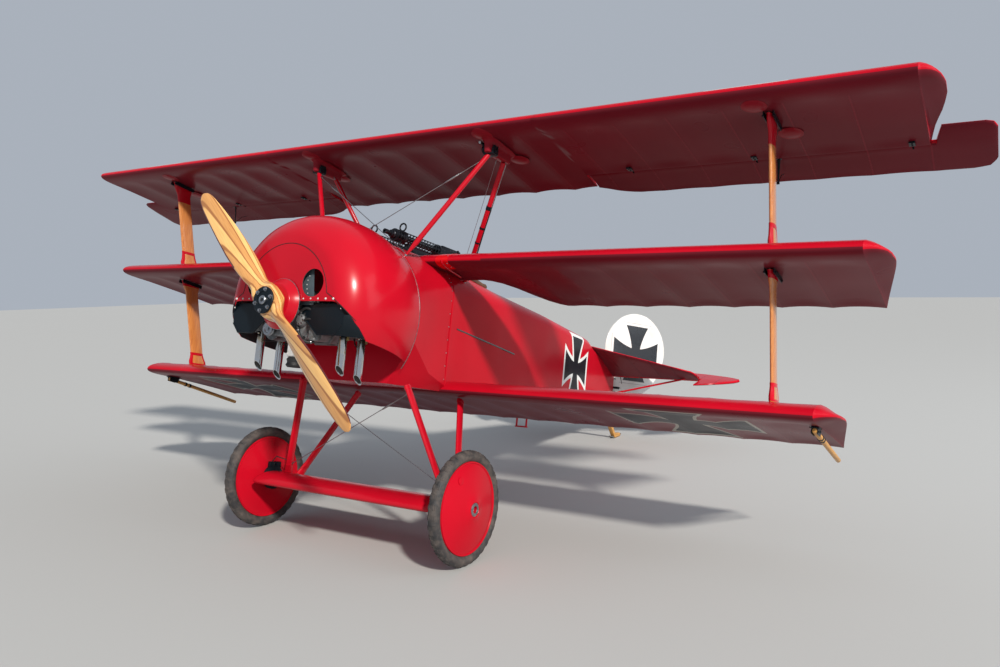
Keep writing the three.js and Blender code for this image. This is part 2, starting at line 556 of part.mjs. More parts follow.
// Tail: triangular tailplane on the rear deck, one elevator with a comma horn at each end, round rudder
const tailSlope = (TAIL.rootZ - TAIL.hingeZ) / (TAIL.rootX - TAIL.hingeX);
const tailHeight = (x) => TAIL.hingeZ + tailSlope * (x - TAIL.hingeX);
const elevatorNose = TAIL.thick / 2;
const tailBack = TAIL.hingeX + elevatorNose + TAIL.clear;
const bothSides = (half) => [...half, ...half.slice().reverse().map(([x, y]) => [x, -y])];
const tailHalf = [[TAIL.rootX, 90], [-4724, 950], [-4764, 974], [-4820, TAIL.tipY], [tailBack, TAIL.tipY]];
const tailPlate = sidePrism([
  [TAIL.rootX, tailHeight(TAIL.rootX) - 6], [TAIL.rootX, tailHeight(TAIL.rootX) + 6],
  [TAIL.rootX - 40, tailHeight(TAIL.rootX - 40) + 15], [tailBack, tailHeight(tailBack) + 15],
  [tailBack, tailHeight(tailBack) - 15], [TAIL.rootX - 40, tailHeight(TAIL.rootX - 40) - 15],
], -1400, 1400);
const tailplane = common(tailPlate, planPrism(bothSides(tailHalf), -200, 500));

const elevatorHalf = [
  [TAIL.hingeX + elevatorNose, 62], [TAIL.hingeX + elevatorNose, TAIL.tipY + 15], [-4672, TAIL.tipY + 18],
  [-4676, 1030], [-4735, 1135], [-4815, 1240], [-4905, 1330], [-4985, ELEVATOR.tipY], [-5040, 1350], [-5105, 1260],
  [-5175, 1120], [-5235, 960], [-5280, 780], [ELEVATOR.trailX, 600], [ELEVATOR.trailX, 215], [TAIL.hingeX - 30, 62],
];
const elevatorPlate = sidePrism([
  [-4660, tailHeight(-4660) - 4], [-4660, tailHeight(-4660) + 4], [-4800, tailHeight(-4800) + elevatorNose - 4],
  [TAIL.hingeX, TAIL.hingeZ + elevatorNose], [ELEVATOR.trailX - 1, tailHeight(ELEVATOR.trailX) + 3],
  [ELEVATOR.trailX - 1, tailHeight(ELEVATOR.trailX) - 3], [TAIL.hingeX, TAIL.hingeZ - elevatorNose],
  [-4800, tailHeight(-4800) - elevatorNose + 4],
], -1400, 1400);
const elevatorLeft = common(elevatorPlate, planPrism(elevatorHalf, -200, 500));
const elevatorRight = common(elevatorPlate, planPrism(mirrorPlan(elevatorHalf, -1), -200, 500));
const torqueTube = rod([TAIL.hingeX, -80, TAIL.hingeZ], [TAIL.hingeX, 80, TAIL.hingeZ], ELEVATOR.tubeR, 12);

// Rudder: balanced, nearly round, hung on two lugs behind the stern post
const rudderNose = RUDDER.hingeX + RUDDER.thick / 2;
const RUDDER_ARC = { from: -28, to: 205, steps: 16 };
const rudderArc = Array.from({ length: RUDDER_ARC.steps + 1 }, (_, i) => {
  const turn = RUDDER_ARC.from + ((RUDDER_ARC.to - RUDDER_ARC.from) * i) / RUDDER_ARC.steps;
  const angle = THREE.MathUtils.degToRad(turn);
  return [RUDDER.centreX + RUDDER.radius * Math.cos(angle), RUDDER.centreZ + RUDDER.radius * Math.sin(angle)];
});
const rudderOutline = [[rudderNose, RUDDER.footZ], [rudderNose, 196], ...rudderArc, [-5585, 95], [-5500, -30],
  [-5380, -120], [-5220, -172], [-5100, RUDDER.footZ]];
const rudderSection = [[-4860, -4], [-4860, 4], [-4920, 12], [RUDDER.hingeX, 17], [-5660, 3], [-5660, -3],
  [RUDDER.hingeX, -17], [-4920, -12]];
const rudderBlank = common(sidePrism(rudderOutline, -60, 60), planPrism(rudderSection, -300, 900));

// Hinge lugs: a flat plate from the fixed edge to the hinge line, inside a notch in the moving nose
const LUG = { thick: 8, radius: 9, notch: 26 };
const slotHalf = LUG.thick / 2 + 0.5;
function lugAcross(x, z, y, back) {
  const eye = turnedY([[y - LUG.thick / 2, 0], [y - LUG.thick / 2, LUG.radius], [y + LUG.thick / 2, LUG.radius],
    [y + LUG.thick / 2, 0]], 12, x, z);
  return join(eye, box(x, back, y - LUG.thick / 2, y + LUG.thick / 2, z - 6, z + 6));
}
const slot = (at) => [[at - slotHalf, 0], [at - slotHalf, LUG.notch], [at + slotHalf, LUG.notch], [at + slotHalf, 0]];
const aileronLugs = [1500, 2320, 3190];
const elevatorLugs = [330, 700];
const rudderLugs = [-120, 20];
const hung = (flap, x, z, stations) => cut(flap, ...stations.map((y) => turnedY(slot(y), 16, x, z)));
const lugged = (plane, x, z, stations, back) => join(plane, ...stations.map((y) => lugAcross(x, z, y, back)));

for (const [name, side] of mirrored) {
  const stations = aileronLugs.map((y) => y * side);
  add(`aileron_${name}`, hung(aileron(side), AILERON.hingeX, hornZ, stations), 'red');
}
const allAileronLugs = [...aileronLugs, ...aileronLugs.map((y) => -y)];
add('upper_wing', lugged(cut(wingSolid(UPPER), aileronBay(1), aileronBay(-1)), AILERON.hingeX, hornZ,
  allAileronLugs, aileronFront + 6), 'red');
const allElevatorLugs = [...elevatorLugs, ...elevatorLugs.map((y) => -y)];
add('tailplane', lugged(tailplane, TAIL.hingeX, TAIL.hingeZ, allElevatorLugs, tailBack + 6), 'red');
// Parked with the stick tied back: the elevator stands trailing edge up, its horns nose down
const levelElevator = hung(join(elevatorLeft, elevatorRight, torqueTube), TAIL.hingeX, TAIL.hingeZ, allElevatorLugs);
add('elevator', levelElevator.translate(-TAIL.hingeX, 0, -TAIL.hingeZ).rotateY(ELEVATOR.parked)
  .translate(TAIL.hingeX, 0, TAIL.hingeZ), 'red');

// The rudder stands turned with its trailing edge to port
const straightRudder = cut(rudderBlank, ...rudderLugs.map((z) => turnedZ(slot(z), 16, RUDDER.hingeX, 0)));
add('rudder', straightRudder.translate(-RUDDER.hingeX, 0, 0).rotateZ(RUDDER.parked).translate(RUDDER.hingeX, 0, 0),
  'white');
const rudderLug = (z) => join(
  turnedZ([[z - 4, 0], [z - 4, LUG.radius], [z + 4, LUG.radius], [z + 4, 0]], 12, RUDDER.hingeX, 0),
  box(RUDDER.hingeX, STERN_X + 30, -6, 6, z - 4, z + 4));

const tubeRoom = rod([TAIL.hingeX, -120, TAIL.hingeZ], [TAIL.hingeX, 120, TAIL.hingeZ], ELEVATOR.tubeR + 7, 14);
const fuselage = cut(hull, cockpitSpace, middleRoom, lowerRoom, eased(tailplane), tubeRoom);
add('fuselage', join(fuselage, ...rudderLugs.map(rudderLug)), 'red');

// Tail struts below the tailplane, and the sprung ash skid that carries the tail
for (const [name, side] of mirrored) {
  const brace = rod([-4740, side * 20, -165], [-4885, side * 830, tailHeight(-4885)], 9, 8);
  add(`tail_strut_${name}`, largest(cut(brace, deckRoom, eased(tailPlate))), 'red');
}
const SKID = { wide: 46, thick: 34, pivotX: -4720 };
const skidOutline = [
  [SKID.pivotX + 40, -150], [SKID.pivotX - 30, -150], [SKID_X + 60, groundZ(SKID_X + 60) + 52],
  [SKID_X - 60, groundZ(SKID_X - 60) + 40], [SKID_X - 90, groundZ(SKID_X - 90) + 10], [SKID_X - 60, groundZ(SKID_X - 60)],
  [SKID_X + 60, groundZ(SKID_X + 60)], [SKID.pivotX - 60, -290], [SKID.pivotX + 30, -268],
];
add('tail_skid', largest(cut(sidePrism(skidOutline, -SKID.wide / 2, SKID.wide / 2), deckRoom)), 'wood');

// Twin machine guns on the deck: perforated jacket, receiver and ring sight
const gunRing = (y) => {
  const ring = new THREE.TorusGeometry(27, 3.5, 6, 16).rotateY(Math.PI / 2);
  return ring.translate(-1032, y, GUN.z + 66);
};
for (const [name, side] of mirrored) {
  const y = side * GUN.y;
  const jacket = turnedX([[GUN.muzzle, 0], [GUN.muzzle, 17], [-905, 17], [-910, 30], [-930, GUN.jacketR],
    [GUN.jacketEnd, GUN.jacketR], [GUN.jacketEnd, 0]], 16, y, GUN.z);
  const receiver = box(GUN.jacketEnd + 4, GUN.breech, y - 32, y + 32, GUN.z - 62, GUN.z + 38);
  const post = rod([-1032, y, GUN.z + 20], [-1032, y, GUN.z + 42], 6, 8);
  const foot = box(-1090, -1120, y - 14, y + 14, GUN.z - 100, GUN.z - 20);
  const gun = join(jacket, receiver, post, gunRing(y), foot);
  add(`gun_${name}`, largest(cut(gun, deckRoom, middleRoom)), 'black');
}

// Cockpit: bucket seat, control column and instrument board inside the well
const seatPan = box(-2040, -1760, -190, 190, -150, -110);
const seatBack = box(-2060, -2030, -190, 190, -150, 230);
const seatFrame = box(-1990, -1830, -150, 150, COCKPIT.floorZ + FIT, -140);
add('seat', join(seatPan, seatBack, seatFrame), 'leather');
const column = rod([-1640, 0, COCKPIT.floorZ + 2], [-1660, 0, 90], 12, 10);
const columnFoot = box(-1600, -1680, -26, 26, COCKPIT.floorZ + FIT, COCKPIT.floorZ + 30);
const grip = rod([-1661, -70, 100], [-1661, 70, 100], 13, 10);
add('control_column', join(column, columnFoot, grip), 'black');
add('instrument_board', box(COCKPIT.front + 30, COCKPIT.front + 42, -COCKPIT.halfY - 60 + FIT, COCKPIT.halfY + 60 - FIT,
  0, COCKPIT.deckZ - FIT), 'wood');

// Stirrup step under the port side, and a round ash skid under each lower wing tip
const STEP = { x: -2690, y: 238, top: -350, drop: -585, half: 46, radius: 8 };
add('step', largest(cut(join(
  rod([STEP.x, STEP.y - STEP.half, STEP.top + 30], [STEP.x, STEP.y - STEP.half, STEP.drop], STEP.radius, 8),
  rod([STEP.x, STEP.y + STEP.half, STEP.top + 30], [STEP.x, STEP.y + STEP.half, STEP.drop], STEP.radius, 8),
  box(STEP.x - 18, STEP.x + 18, STEP.y - STEP.half - 8, STEP.y + STEP.half + 8, STEP.drop - 8, STEP.drop + 4),
), deckRoom)), 'red');

const TIP_SKID = { y: 2780, front: -1500, back: -2280, dropFront: 20, endZ: -611, radius: 15, bracket: 80 };
for (const [name, side] of mirrored) {
  const under = wingHeight(LOWER, TIP_SKID.front, false);
  const y = side * TIP_SKID.y;
  const bar = rod([TIP_SKID.front, y, under - TIP_SKID.dropFront], [TIP_SKID.back, y, TIP_SKID.endZ],
    TIP_SKID.radius, 10);
  const bracket = box(TIP_SKID.front, TIP_SKID.front - TIP_SKID.bracket, y - 18, y + 18, under - 44, under + 30);
  add(`wing_skid_${name}`, largest(cut(join(bar, bracket), lowerRoom)), 'wood');
}

// Pitched to its parked attitude, with the origin on the floor under the middle of its box
airframe.rotation.y = -PARKED_PITCH;
airframe.updateMatrixWorld(true);
const reach = new THREE.Box3().setFromObject(airframe, true);
airframe.position.set(-(reach.min.x + reach.max.x) / 2, 0, -floorLevel);

export default airframe;
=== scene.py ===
"""A parked red fighter triplane of the first war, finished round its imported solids.

Everything is in metres. The airframe is drawn in its flight axes, with the propeller
hub at the origin, X forwards, Y to the pilot's left and Z up, and is then set down
nose-up on its wheels and tail skid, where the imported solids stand.
"""
import json
from math import atan, atan2, copysign, cos, exp, hypot, pi, radians, sin, sqrt
from types import SimpleNamespace as Sizes

import bmesh
import bpy
from mathutils import Matrix, Quaternion, Vector


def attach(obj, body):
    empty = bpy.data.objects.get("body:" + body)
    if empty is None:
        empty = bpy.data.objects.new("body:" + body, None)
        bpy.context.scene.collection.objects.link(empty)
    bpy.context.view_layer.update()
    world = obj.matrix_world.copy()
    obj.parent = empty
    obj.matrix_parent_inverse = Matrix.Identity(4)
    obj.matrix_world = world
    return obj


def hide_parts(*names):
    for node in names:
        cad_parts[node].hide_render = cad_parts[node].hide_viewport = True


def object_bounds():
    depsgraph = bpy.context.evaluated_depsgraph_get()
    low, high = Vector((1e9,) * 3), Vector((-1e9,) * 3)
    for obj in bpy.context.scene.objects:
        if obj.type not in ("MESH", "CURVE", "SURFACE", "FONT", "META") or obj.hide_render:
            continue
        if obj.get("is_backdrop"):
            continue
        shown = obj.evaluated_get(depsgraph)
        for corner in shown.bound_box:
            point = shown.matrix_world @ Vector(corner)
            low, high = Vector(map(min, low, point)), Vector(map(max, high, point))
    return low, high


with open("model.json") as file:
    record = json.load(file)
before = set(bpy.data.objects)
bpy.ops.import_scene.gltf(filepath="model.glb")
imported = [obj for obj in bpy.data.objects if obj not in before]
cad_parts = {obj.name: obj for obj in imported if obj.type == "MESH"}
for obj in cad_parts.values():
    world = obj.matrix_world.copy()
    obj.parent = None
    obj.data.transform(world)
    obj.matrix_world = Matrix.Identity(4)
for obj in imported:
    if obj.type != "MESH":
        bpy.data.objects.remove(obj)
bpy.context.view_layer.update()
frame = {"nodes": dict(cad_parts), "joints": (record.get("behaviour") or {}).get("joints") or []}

# Camera: a standing eye ahead of the left wing tips, at the photograph's angle.
# Its lens is wide, so the near wing runs out of the frame's middle to the edge.
CAMERA_AT = (6.0408, 3.7008, 1.7464)
CAMERA_YAW, CAMERA_PITCH, CAMERA_ROLL = 212.07, -3.76, -0.87
IMAGE_WIDTH_PX, FOCAL_PX = 1000, 824.8

camera = bpy.data.objects.new("camera", bpy.data.cameras.new("camera"))
bpy.context.scene.collection.objects.link(camera)
yaw, pitch = radians(CAMERA_YAW), radians(CAMERA_PITCH)
looking = Vector((cos(yaw) * cos(pitch), sin(yaw) * cos(pitch), sin(pitch)))
camera.rotation_mode = "QUATERNION"
tilt = Quaternion((0, 0, 1), radians(CAMERA_ROLL))
camera.rotation_quaternion = looking.to_track_quat("-Z", "Y") @ tilt
camera.location = CAMERA_AT
camera.data.sensor_width = 36
camera.data.lens = 36 * FOCAL_PX / IMAGE_WIDTH_PX
camera.data.clip_start, camera.data.clip_end = 0.05, 400
bpy.context.scene.camera = camera
bpy.context.scene.view_settings.view_transform = "Standard"

# Studio floor: one wide pale sheet that the wheels and the skid stand on.
# It reaches 60 m out each way.
paper = bpy.data.materials.new("studio_paper")
paper.use_nodes = True
paper.node_tree.nodes["Principled BSDF"].inputs["Base Color"].default_value = (0.46, 0.46, 0.45, 1)
paper.node_tree.nodes["Principled BSDF"].inputs["Roughness"].default_value = 0.9
FLOOR_HALF = 60
bm = bmesh.new()
bmesh.ops.create_grid(bm, x_segments=1, y_segments=1, size=FLOOR_HALF)
floor_mesh = bpy.data.meshes.new("floor")
bm.to_mesh(floor_mesh)
bm.free()
floor_mesh.materials.append(paper)
floor = bpy.data.objects.new("floor", floor_mesh)
bpy.context.scene.collection.objects.link(floor)
floor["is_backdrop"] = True

# Studio light: one warm key high behind the camera and as even as daylight, so that the
# noses of the wings shine, a weak fill, and a pale surround for the gloss.
world = bpy.data.worlds.new("studio")
bpy.context.scene.world = world
world.use_nodes = True
world.node_tree.nodes["Background"].inputs["Color"].default_value = (0.8, 0.88, 1, 1)
world.node_tree.nodes["Background"].inputs["Strength"].default_value = 0.5
lamps = (
    # name, kind, place, strength, size or angle, colour
    ("key", "SUN", (15.3, 21, 18.4), 4, 0.07, (1, 0.95, 0.87)),
    ("fill", "AREA", (-2, 14, 7), 500, 9, (0.9, 0.95, 1)),
)
for name, kind, place, strength, size, colour in lamps:
    light = bpy.data.lights.new(name, kind)
    light.energy, light.color = strength, colour
    if kind == "SUN":
        light.angle = size
    else:
        light.size = size
    lamp = bpy.data.objects.new(name, light)
    lamp.location = place
    lamp.rotation_mode = "QUATERNION"
    lamp.rotation_quaternion = (Vector((0, 0, 1.2)) - Vector(place)).to_track_quat("-Z", "Y")
    bpy.context.scene.collection.objects.link(lamp)

# Fuselage: a welded steel-tube box under doped fabric, with a rounded deck and flat
# sides. The fabric is drawn tight, so it dips a little between the cross-frames.
joints = {joint["name"]: joint for joint in frame["joints"]}
shaft = joints["propeller_spin"]
ahead = Vector(shaft["axis"])
PORT = Vector((0, 1, 0))
above = ahead.cross(PORT)
parked = Matrix.Translation(shaft["pos_m"]) @ Matrix((ahead, PORT, above)).transposed().to_4x4()
drawn_from = parked.inverted()


def shade(name, colour, rough, **sockets):
    """A material with its constants on the shader's own sockets."""
    made = bpy.data.materials.new(name)
    made.use_nodes = True
    shader = made.node_tree.nodes["Principled BSDF"]
    shader.inputs["Base Color"].default_value = (*colour, 1)
    shader.inputs["Roughness"].default_value = rough
    for socket, value in sockets.items():
        shader.inputs[socket.replace("_", " ")].default_value = value
    return made


def node(made, kind, inputs=None, **settings):
    """A node in a material: sockets given as inputs are linked, and numbers are set."""
    new = made.node_tree.nodes.new("ShaderNode" + kind)
    for key, value in settings.items():
        setattr(new, key, value)
    for key, value in (inputs or {}).items():
        if isinstance(value, bpy.types.NodeSocket):
            made.node_tree.links.new(value, new.inputs[key])
        else:
            new.inputs[key].default_value = value
    return new


def calc(made, operation, *values):
    return node(made, "Math", dict(enumerate(values)), operation=operation).outputs[0]


def ramp(made, value, start, end, low=0, high=1):
    """Carries a value from low to high as it goes from start to end, and holds it there."""
    return node(made, "MapRange", {"Value": value, "From Min": start, "From Max": end, "To Min": low,
        "To Max": high}).outputs[0]


def mixed(made, share, first, second):
    """The first colour where share is 0, and the second where it is 1."""
    pair = {i: value if isinstance(value, bpy.types.NodeSocket) else (*value, 1) for i,
        value in ((6, first), (7, second))}
    return node(made, "Mix", {0: share, **pair}, data_type="RGBA").outputs[2]


def drawn(made, turn=None):
    """Object coordinates carried back to the flight axes, or to a part's own axes."""
    back = drawn_from if turn is None else turn.inverted()
    return node(made, "Mapping", {"Vector": node(made, "TexCoord").outputs["Object"],
        "Location": back.to_translation(), "Rotation": back.to_euler("XYZ")}).outputs[0]


def noise(made, vector, scale, detail=2, rough=0.5):
    return node(made, "TexNoise", {"Vector": vector, "Scale": scale, "Detail": detail,
        "Roughness": rough}).outputs["Fac"]


def split(made, vector):
    return node(made, "SeparateXYZ", {"Vector": vector}).outputs


def wire_up(made, colour=None, rough=None, height=None, depth=0.001):
    """Feeds a colour, a roughness and a bump height of so many metres to the shader."""
    shader = made.node_tree.nodes["Principled BSDF"]
    if colour is not None:
        made.node_tree.links.new(colour, shader.inputs["Base Color"])
    if rough is not None:
        made.node_tree.links.new(rough, shader.inputs["Roughness"])
    if height is not None:
        bumped = node(made, "Bump", {"Height": height, "Distance": depth, "Strength": 1})
        made.node_tree.links.new(bumped.outputs["Normal"], shader.inputs["Normal"])
    return made


def worn(name, colour, rough, spots, tones=(), reach=None, dull=None, depth=None, stretch=None, **sockets):
    """A finish on one noise of (scale, detail, roughness): two tones over its reach, a dull
    range of roughness, and a bump of so many metres. stretch draws it out to a grain."""
    made = shade(name, colour, rough, **sockets)
    place = drawn(made)
    if stretch:
        place = node(made, "Mapping", {"Vector": place, "Scale": stretch}).outputs[0]
    spot = noise(made, place, *spots)
    share = ramp(made, spot, *reach) if reach else spot
    return wire_up(made, mixed(made, share, *tones) if tones else None, ramp(made, spot, *dull) if dull
        else None, spot if depth else None, depth or 0.001)


def patee(made, u, v, half, edge=0.085):
    """Masks of a black cross with flared arms and of the white field round it."""
    WAIST, ARM_END, BORDER = 0.17 * half, 0.5 * half, edge * half

    def arms(grow):
        found = []
        for across, along in ((u, v), (v, u)):
            away = calc(made, "ABSOLUTE", along)
            flare = calc(made, "POWER", calc(made, "DIVIDE", away, half), 1.7)
            width = calc(made, "MULTIPLY_ADD", flare, ARM_END - WAIST, WAIST + grow)
            inside = calc(made, "LESS_THAN", calc(made, "ABSOLUTE", across), width)
            found.append(calc(made, "MULTIPLY", inside, calc(made, "LESS_THAN", away, half + grow)))
        return calc(made, "MAXIMUM", *found)

    return arms(0), arms(BORDER)


def marked(made, colour, black, white, field):
    """Paints the cross over a colour."""
    framed = mixed(made, white, colour, field)
    return mixed(made, black, framed, (0.012, 0.014, 0.018))


def dope(name, colour, rib=None, crosses=None, turn=None, rough=0.22, lit=0.45, field=(0.74, 0.74, 0.72),
        ply=None, gloss=0.45):
    """Glossy doped fabric: faint weave and fading, with taped and stitched ribs across Y.

    rib is the rib pitch, lit is how bright its stitching is beside the colour, and the
    tapes start behind ply, the plywood nose's rear edge. gloss scales the varnish.
    crosses is a function of the material and its drawn X, Y and Z that gives the two
    masks of its markings, on a field of the given white.
    """
    made = shade(name, colour, rough, Specular_IOR_Level=0.14 * gloss, Coat_Weight=0.14 * gloss,
        Coat_Roughness=0.3)
    place = drawn(made, turn)
    x, y, z = split(made, place)
    fading = noise(made, place, 1.3, 3)
    weave = noise(made, place, 300, 1)
    skin = mixed(made, ramp(made, fading, 0.35, 0.68), [c * 0.88 for c in colour],
        [min(1, c * 1.08) for c in colour])
    height = calc(made, "MULTIPLY", weave, 0.03)
    if rib:
        TAPE_HALF, STITCH_PITCH, STITCH_HALF = 0.0125, 0.05, 0.0035
        from_rib = calc(made, "PINGPONG", y, rib / 2)
        if ply is not None:
            from_rib = calc(made, "ADD", from_rib, ramp(made, x, ply - 0.01, ply, 0, 1))
        tape = ramp(made, from_rib, TAPE_HALF, TAPE_HALF - 0.002)
        stitch = calc(made, "MULTIPLY", calc(made, "LESS_THAN", calc(made, "PINGPONG", x, STITCH_PITCH / 2),
            STITCH_HALF), calc(made, "LESS_THAN", from_rib, STITCH_HALF * 1.6))
        height = calc(made, "ADD", height, calc(made, "MULTIPLY", tape, 0.45))
        height = calc(made, "ADD", height, calc(made, "MULTIPLY", stitch, 0.55))
        edge = calc(made, "MULTIPLY", tape, ramp(made, from_rib, TAPE_HALF - 0.004, TAPE_HALF, 0, 0.35))
        skin = mixed(made, edge, skin, [c * 0.45 for c in colour])
        skin = mixed(made, ramp(made, from_rib, 0.0045, 0.003, 0, 0.8), skin, [c * lit for c in colour])
    if crosses:
        skin = marked(made, skin, *crosses(made, x, y, z), field)
    dull = ramp(made, noise(made, place, 3, 2), 0.3, 0.75, rough * 0.9, rough * 1.2)
    return wire_up(made, skin, dull, height, 0.0008)


RED = (0.5, 0.004, 0.016)
# Painted shade: the undersides are the same red paint as the tops, and this colour is that red drawn darker,
# as in shade.
PAINTED_SHADE_RED = (0.15, 0.013, 0.022)


def make(name, bm, materials, body="airframe", replaces=(), sharp=38):
    """Turns a drawn mesh into a finished piece that rides on a body."""
    bm.transform(parked)
    bmesh.ops.recalc_face_normals(bm, faces=bm.faces[:])
    if bm.calc_volume(signed=True) < 0:
        bmesh.ops.reverse_faces(bm, faces=bm.faces[:])
    mesh = bpy.data.meshes.new(name)
    bm.to_mesh(mesh)
    bm.free()
    for one in materials:
        mesh.materials.append(one)
    mesh.shade_smooth()
    mesh.set_sharp_from_angle(angle=radians(sharp))
    piece = bpy.data.objects.new(name, mesh)
    bpy.context.scene.collection.objects.link(piece)
    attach(piece, body)
    if replaces:
        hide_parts(*replaces)
    return piece


def loft(bm, rings, closed=False):
    """Skins a row of closed rings, and fills both ends or joins the last to the first."""
    count = len(rings[0])
    rows = [*rings, rings[0]] if closed else rings
    grid = bmesh.ops.create_grid(bm, x_segments=count, y_segments=len(rows) - 1, size=1)["verts"]
    for i, vert in enumerate(grid):
        row, column = divmod(i, count + 1)
        vert.co = rows[row][column % count]
    bmesh.ops.remove_doubles(bm, verts=[vert for vert in grid if vert.is_boundary], dist=1e-7)
    left = [edge for edge in bm.edges if edge.is_boundary]
    if left:
        bmesh.ops.holes_fill(bm, edges=left, sides=0)


def between(points, at):
    """Reads a row of (position, value, ...) lines at a position, straight between them."""
    rising = points[0][0] < points[-1][0]
    ordered = points if rising else points[::-1]
    for low, high in zip(ordered, ordered[1:]):
        if at <= high[0]:
            break
    share = max(0, min(1, (at - low[0]) / (high[0] - low[0])))
    return [a + (b - a) * share for a, b in zip(low[1:], high[1:])]


FRAMES = [
    # x, half width, belly half width, belly z, corner z, shoulder z, ridge z
    (-0.7864, 0.52, 0.33, -0.396, -0.13, 0.11, 0.554),
    (-1.06, 0.452, 0.38, -0.4, -0.3, 0.205, 0.552),
    (-1.4, 0.402, 0.386, -0.402, -0.39, 0.29, 0.548),
    (-2.075, 0.352, 0.342, -0.388, -0.378, 0.305, 0.472),
    (-3, 0.272, 0.264, -0.335, -0.327, 0.29, 0.425),
    (-4.04, 0.146, 0.138, -0.25, -0.243, 0.262, 0.352),
    (-4.18, 0.126, 0.12, -0.238, -0.232, 0.232, 0.27),
    (-4.6, 0.07, 0.065, -0.212, -0.206, 0.146, 0.156),
    (-4.962, 0.02, 0.017, -0.19, -0.186, 0.038, 0.044),
]
BAY, FABRIC_DIP = 0.46, 0.0045


def frame_ring(x):
    """One cross-section of the hull, round from the starboard belly."""
    half, belly_half, belly, corner, shoulder, ridge = between(FRAMES, x)
    along = ((x - FRAMES[1][0]) / BAY) % 1
    dip = FABRIC_DIP * 4 * along * (1 - along) if -4.6 < x < FRAMES[1][0] else 0
    dip *= min(1, half / 0.2)
    ring = []
    for i in range(8):
        share = i / 7
        ring.append((x, -belly_half + 2 * belly_half * share, belly + dip * 4 * share * (1 - share)))
    side = []
    for i in range(7):
        share = i / 6
        side.append((half - dip * 4 * share * (1 - share), corner + (shoulder - corner) * share))
    deck = []
    for i in range(1, 24):
        turn = pi * i / 24
        deck.append((x, half * cos(turn), shoulder + (ridge - shoulder) * sin(turn)))
    return ring + [(x, y, z) for y, z in side] + deck + [(x, -y, z) for y, z in reversed(side)]


stations = [FRAMES[0][0], -0.92, FRAMES[1][0]]
while stations[-1] > -4.85:
    stations.append(stations[-1] - BAY / 6)
stations[-1] = FRAMES[-1][0]
bm = bmesh.new()
loft(bm, [frame_ring(x) for x in stations])
FUSELAGE_CROSS = (-3.7, 0.005, 0.29)


def side_cross(made, x, y, z):
    return patee(made, calc(made, "SUBTRACT", x, FUSELAGE_CROSS[0]),
        calc(made, "SUBTRACT", z, FUSELAGE_CROSS[1]), FUSELAGE_CROSS[2], 0.12)


fuselage_dope = dope("fuselage_dope", RED, crosses=side_cross)
fuselage = make("fuselage_skin", bm, [fuselage_dope], replaces=["fuselage"], sharp=30)


def carve(piece, tool_bm, lining=None):
    """Cuts a drawn shape out of a piece, and gives the cut faces a lining."""
    tool_bm.transform(parked)
    bmesh.ops.recalc_face_normals(tool_bm, faces=tool_bm.faces[:])
    mesh = bpy.data.meshes.new("tool")
    tool_bm.to_mesh(mesh)
    tool_bm.free()
    if lining:
        mesh.materials.append(lining)
    tool = bpy.data.objects.new("tool", mesh)
    bpy.context.scene.collection.objects.link(tool)
    cut = piece.modifiers.new("cut", "BOOLEAN")
    cut.operation, cut.solver, cut.object = "DIFFERENCE", "EXACT", tool
    cut.material_mode = "TRANSFER" if lining else "INDEX"
    graph = bpy.context.evaluated_depsgraph_get()
    done = bpy.data.meshes.new_from_object(piece.evaluated_get(graph))
    piece.modifiers.clear()
    piece.data = done
    bpy.data.objects.remove(tool)
    bpy.data.meshes.remove(mesh)
    done.set_sharp_from_angle(angle=radians(30))


def prism(bm, outline, start, end, up="Z"):
    """Raises a flat outline of pairs along Z, or along Y or X, from start to end."""
    lay = {"Z": lambda a, b, h: (a, b, h), "Y": lambda a, b, h: (a, h, b), "X": lambda a, b,
        h: (h, a, b)}[up]
    face = bm.faces.new([bm.verts.new(lay(a, b, start)) for a, b in outline])
    raised = bmesh.ops.extrude_face_region(bm, geom=[face])["geom"]
    for vert in raised:
        if isinstance(vert, bmesh.types.BMVert):
            vert.co += Vector(lay(0, 0, end - start))
    return raised


def box(bm, low, high):
    """A block between two corners, for brackets and tools."""
    low, high = Vector(low), Vector(high)
    size = [abs(b - a) for a, b in zip(low, high)]
    return bmesh.ops.create_cube(bm, size=1, matrix=Matrix.Translation((low + high) / 2)
        @ Matrix.Diagonal((*size, 1)))["verts"]


# Cockpit: the well between the side tubes, lined with bare fabric, under an oval mouth.
# Its rim is a leather roll stuffed with horsehair and laced to the deck.
WELL = Sizes(front=-1.46, back=-2.12, half=0.295, floor=-0.29, top=0.25)
MOUTH = Sizes(front=-1.52, back=-2.06, half=0.235)
lining = shade("cockpit_lining", (0.1, 0.085, 0.06), 0.85)
place = drawn(lining)
wire_up(lining, mixed(lining, noise(lining, place, 9, 4), (0.07, 0.06, 0.045), (0.16, 0.13, 0.09)),
    height=noise(lining, place, 300), depth=0.0006)
bm = bmesh.new()
box(bm, (WELL.back, -WELL.half, WELL.floor), (WELL.front, WELL.half, WELL.top))
carve(fuselage, bm, lining)
mouth_middle = (MOUTH.front + MOUTH.back) / 2
mouth_reach = (MOUTH.front - MOUTH.back) / 2


def turns(count, start=0):
    """Even angles round a circle."""
    return [2 * pi * (k + start) / count for k in range(count)]


def mouth_edge(turn):
    """A point on the cockpit's rim: an oval with blunt ends."""
    blunt = 0.62
    c, s = cos(turn), sin(turn)
    return (mouth_middle + mouth_reach * copysign(abs(c) ** blunt, c), MOUTH.half
        * copysign(abs(s) ** blunt, s))


bm = bmesh.new()
prism(bm, [mouth_edge(turn) for turn in turns(40)], 0, 0.8)
carve(fuselage, bm, lining)


def deck_height(x, y):
    half, _, _, _, shoulder, ridge = between(FRAMES, x)
    return shoulder + (ridge - shoulder) * sqrt(max(0, 1 - (y / half) ** 2))


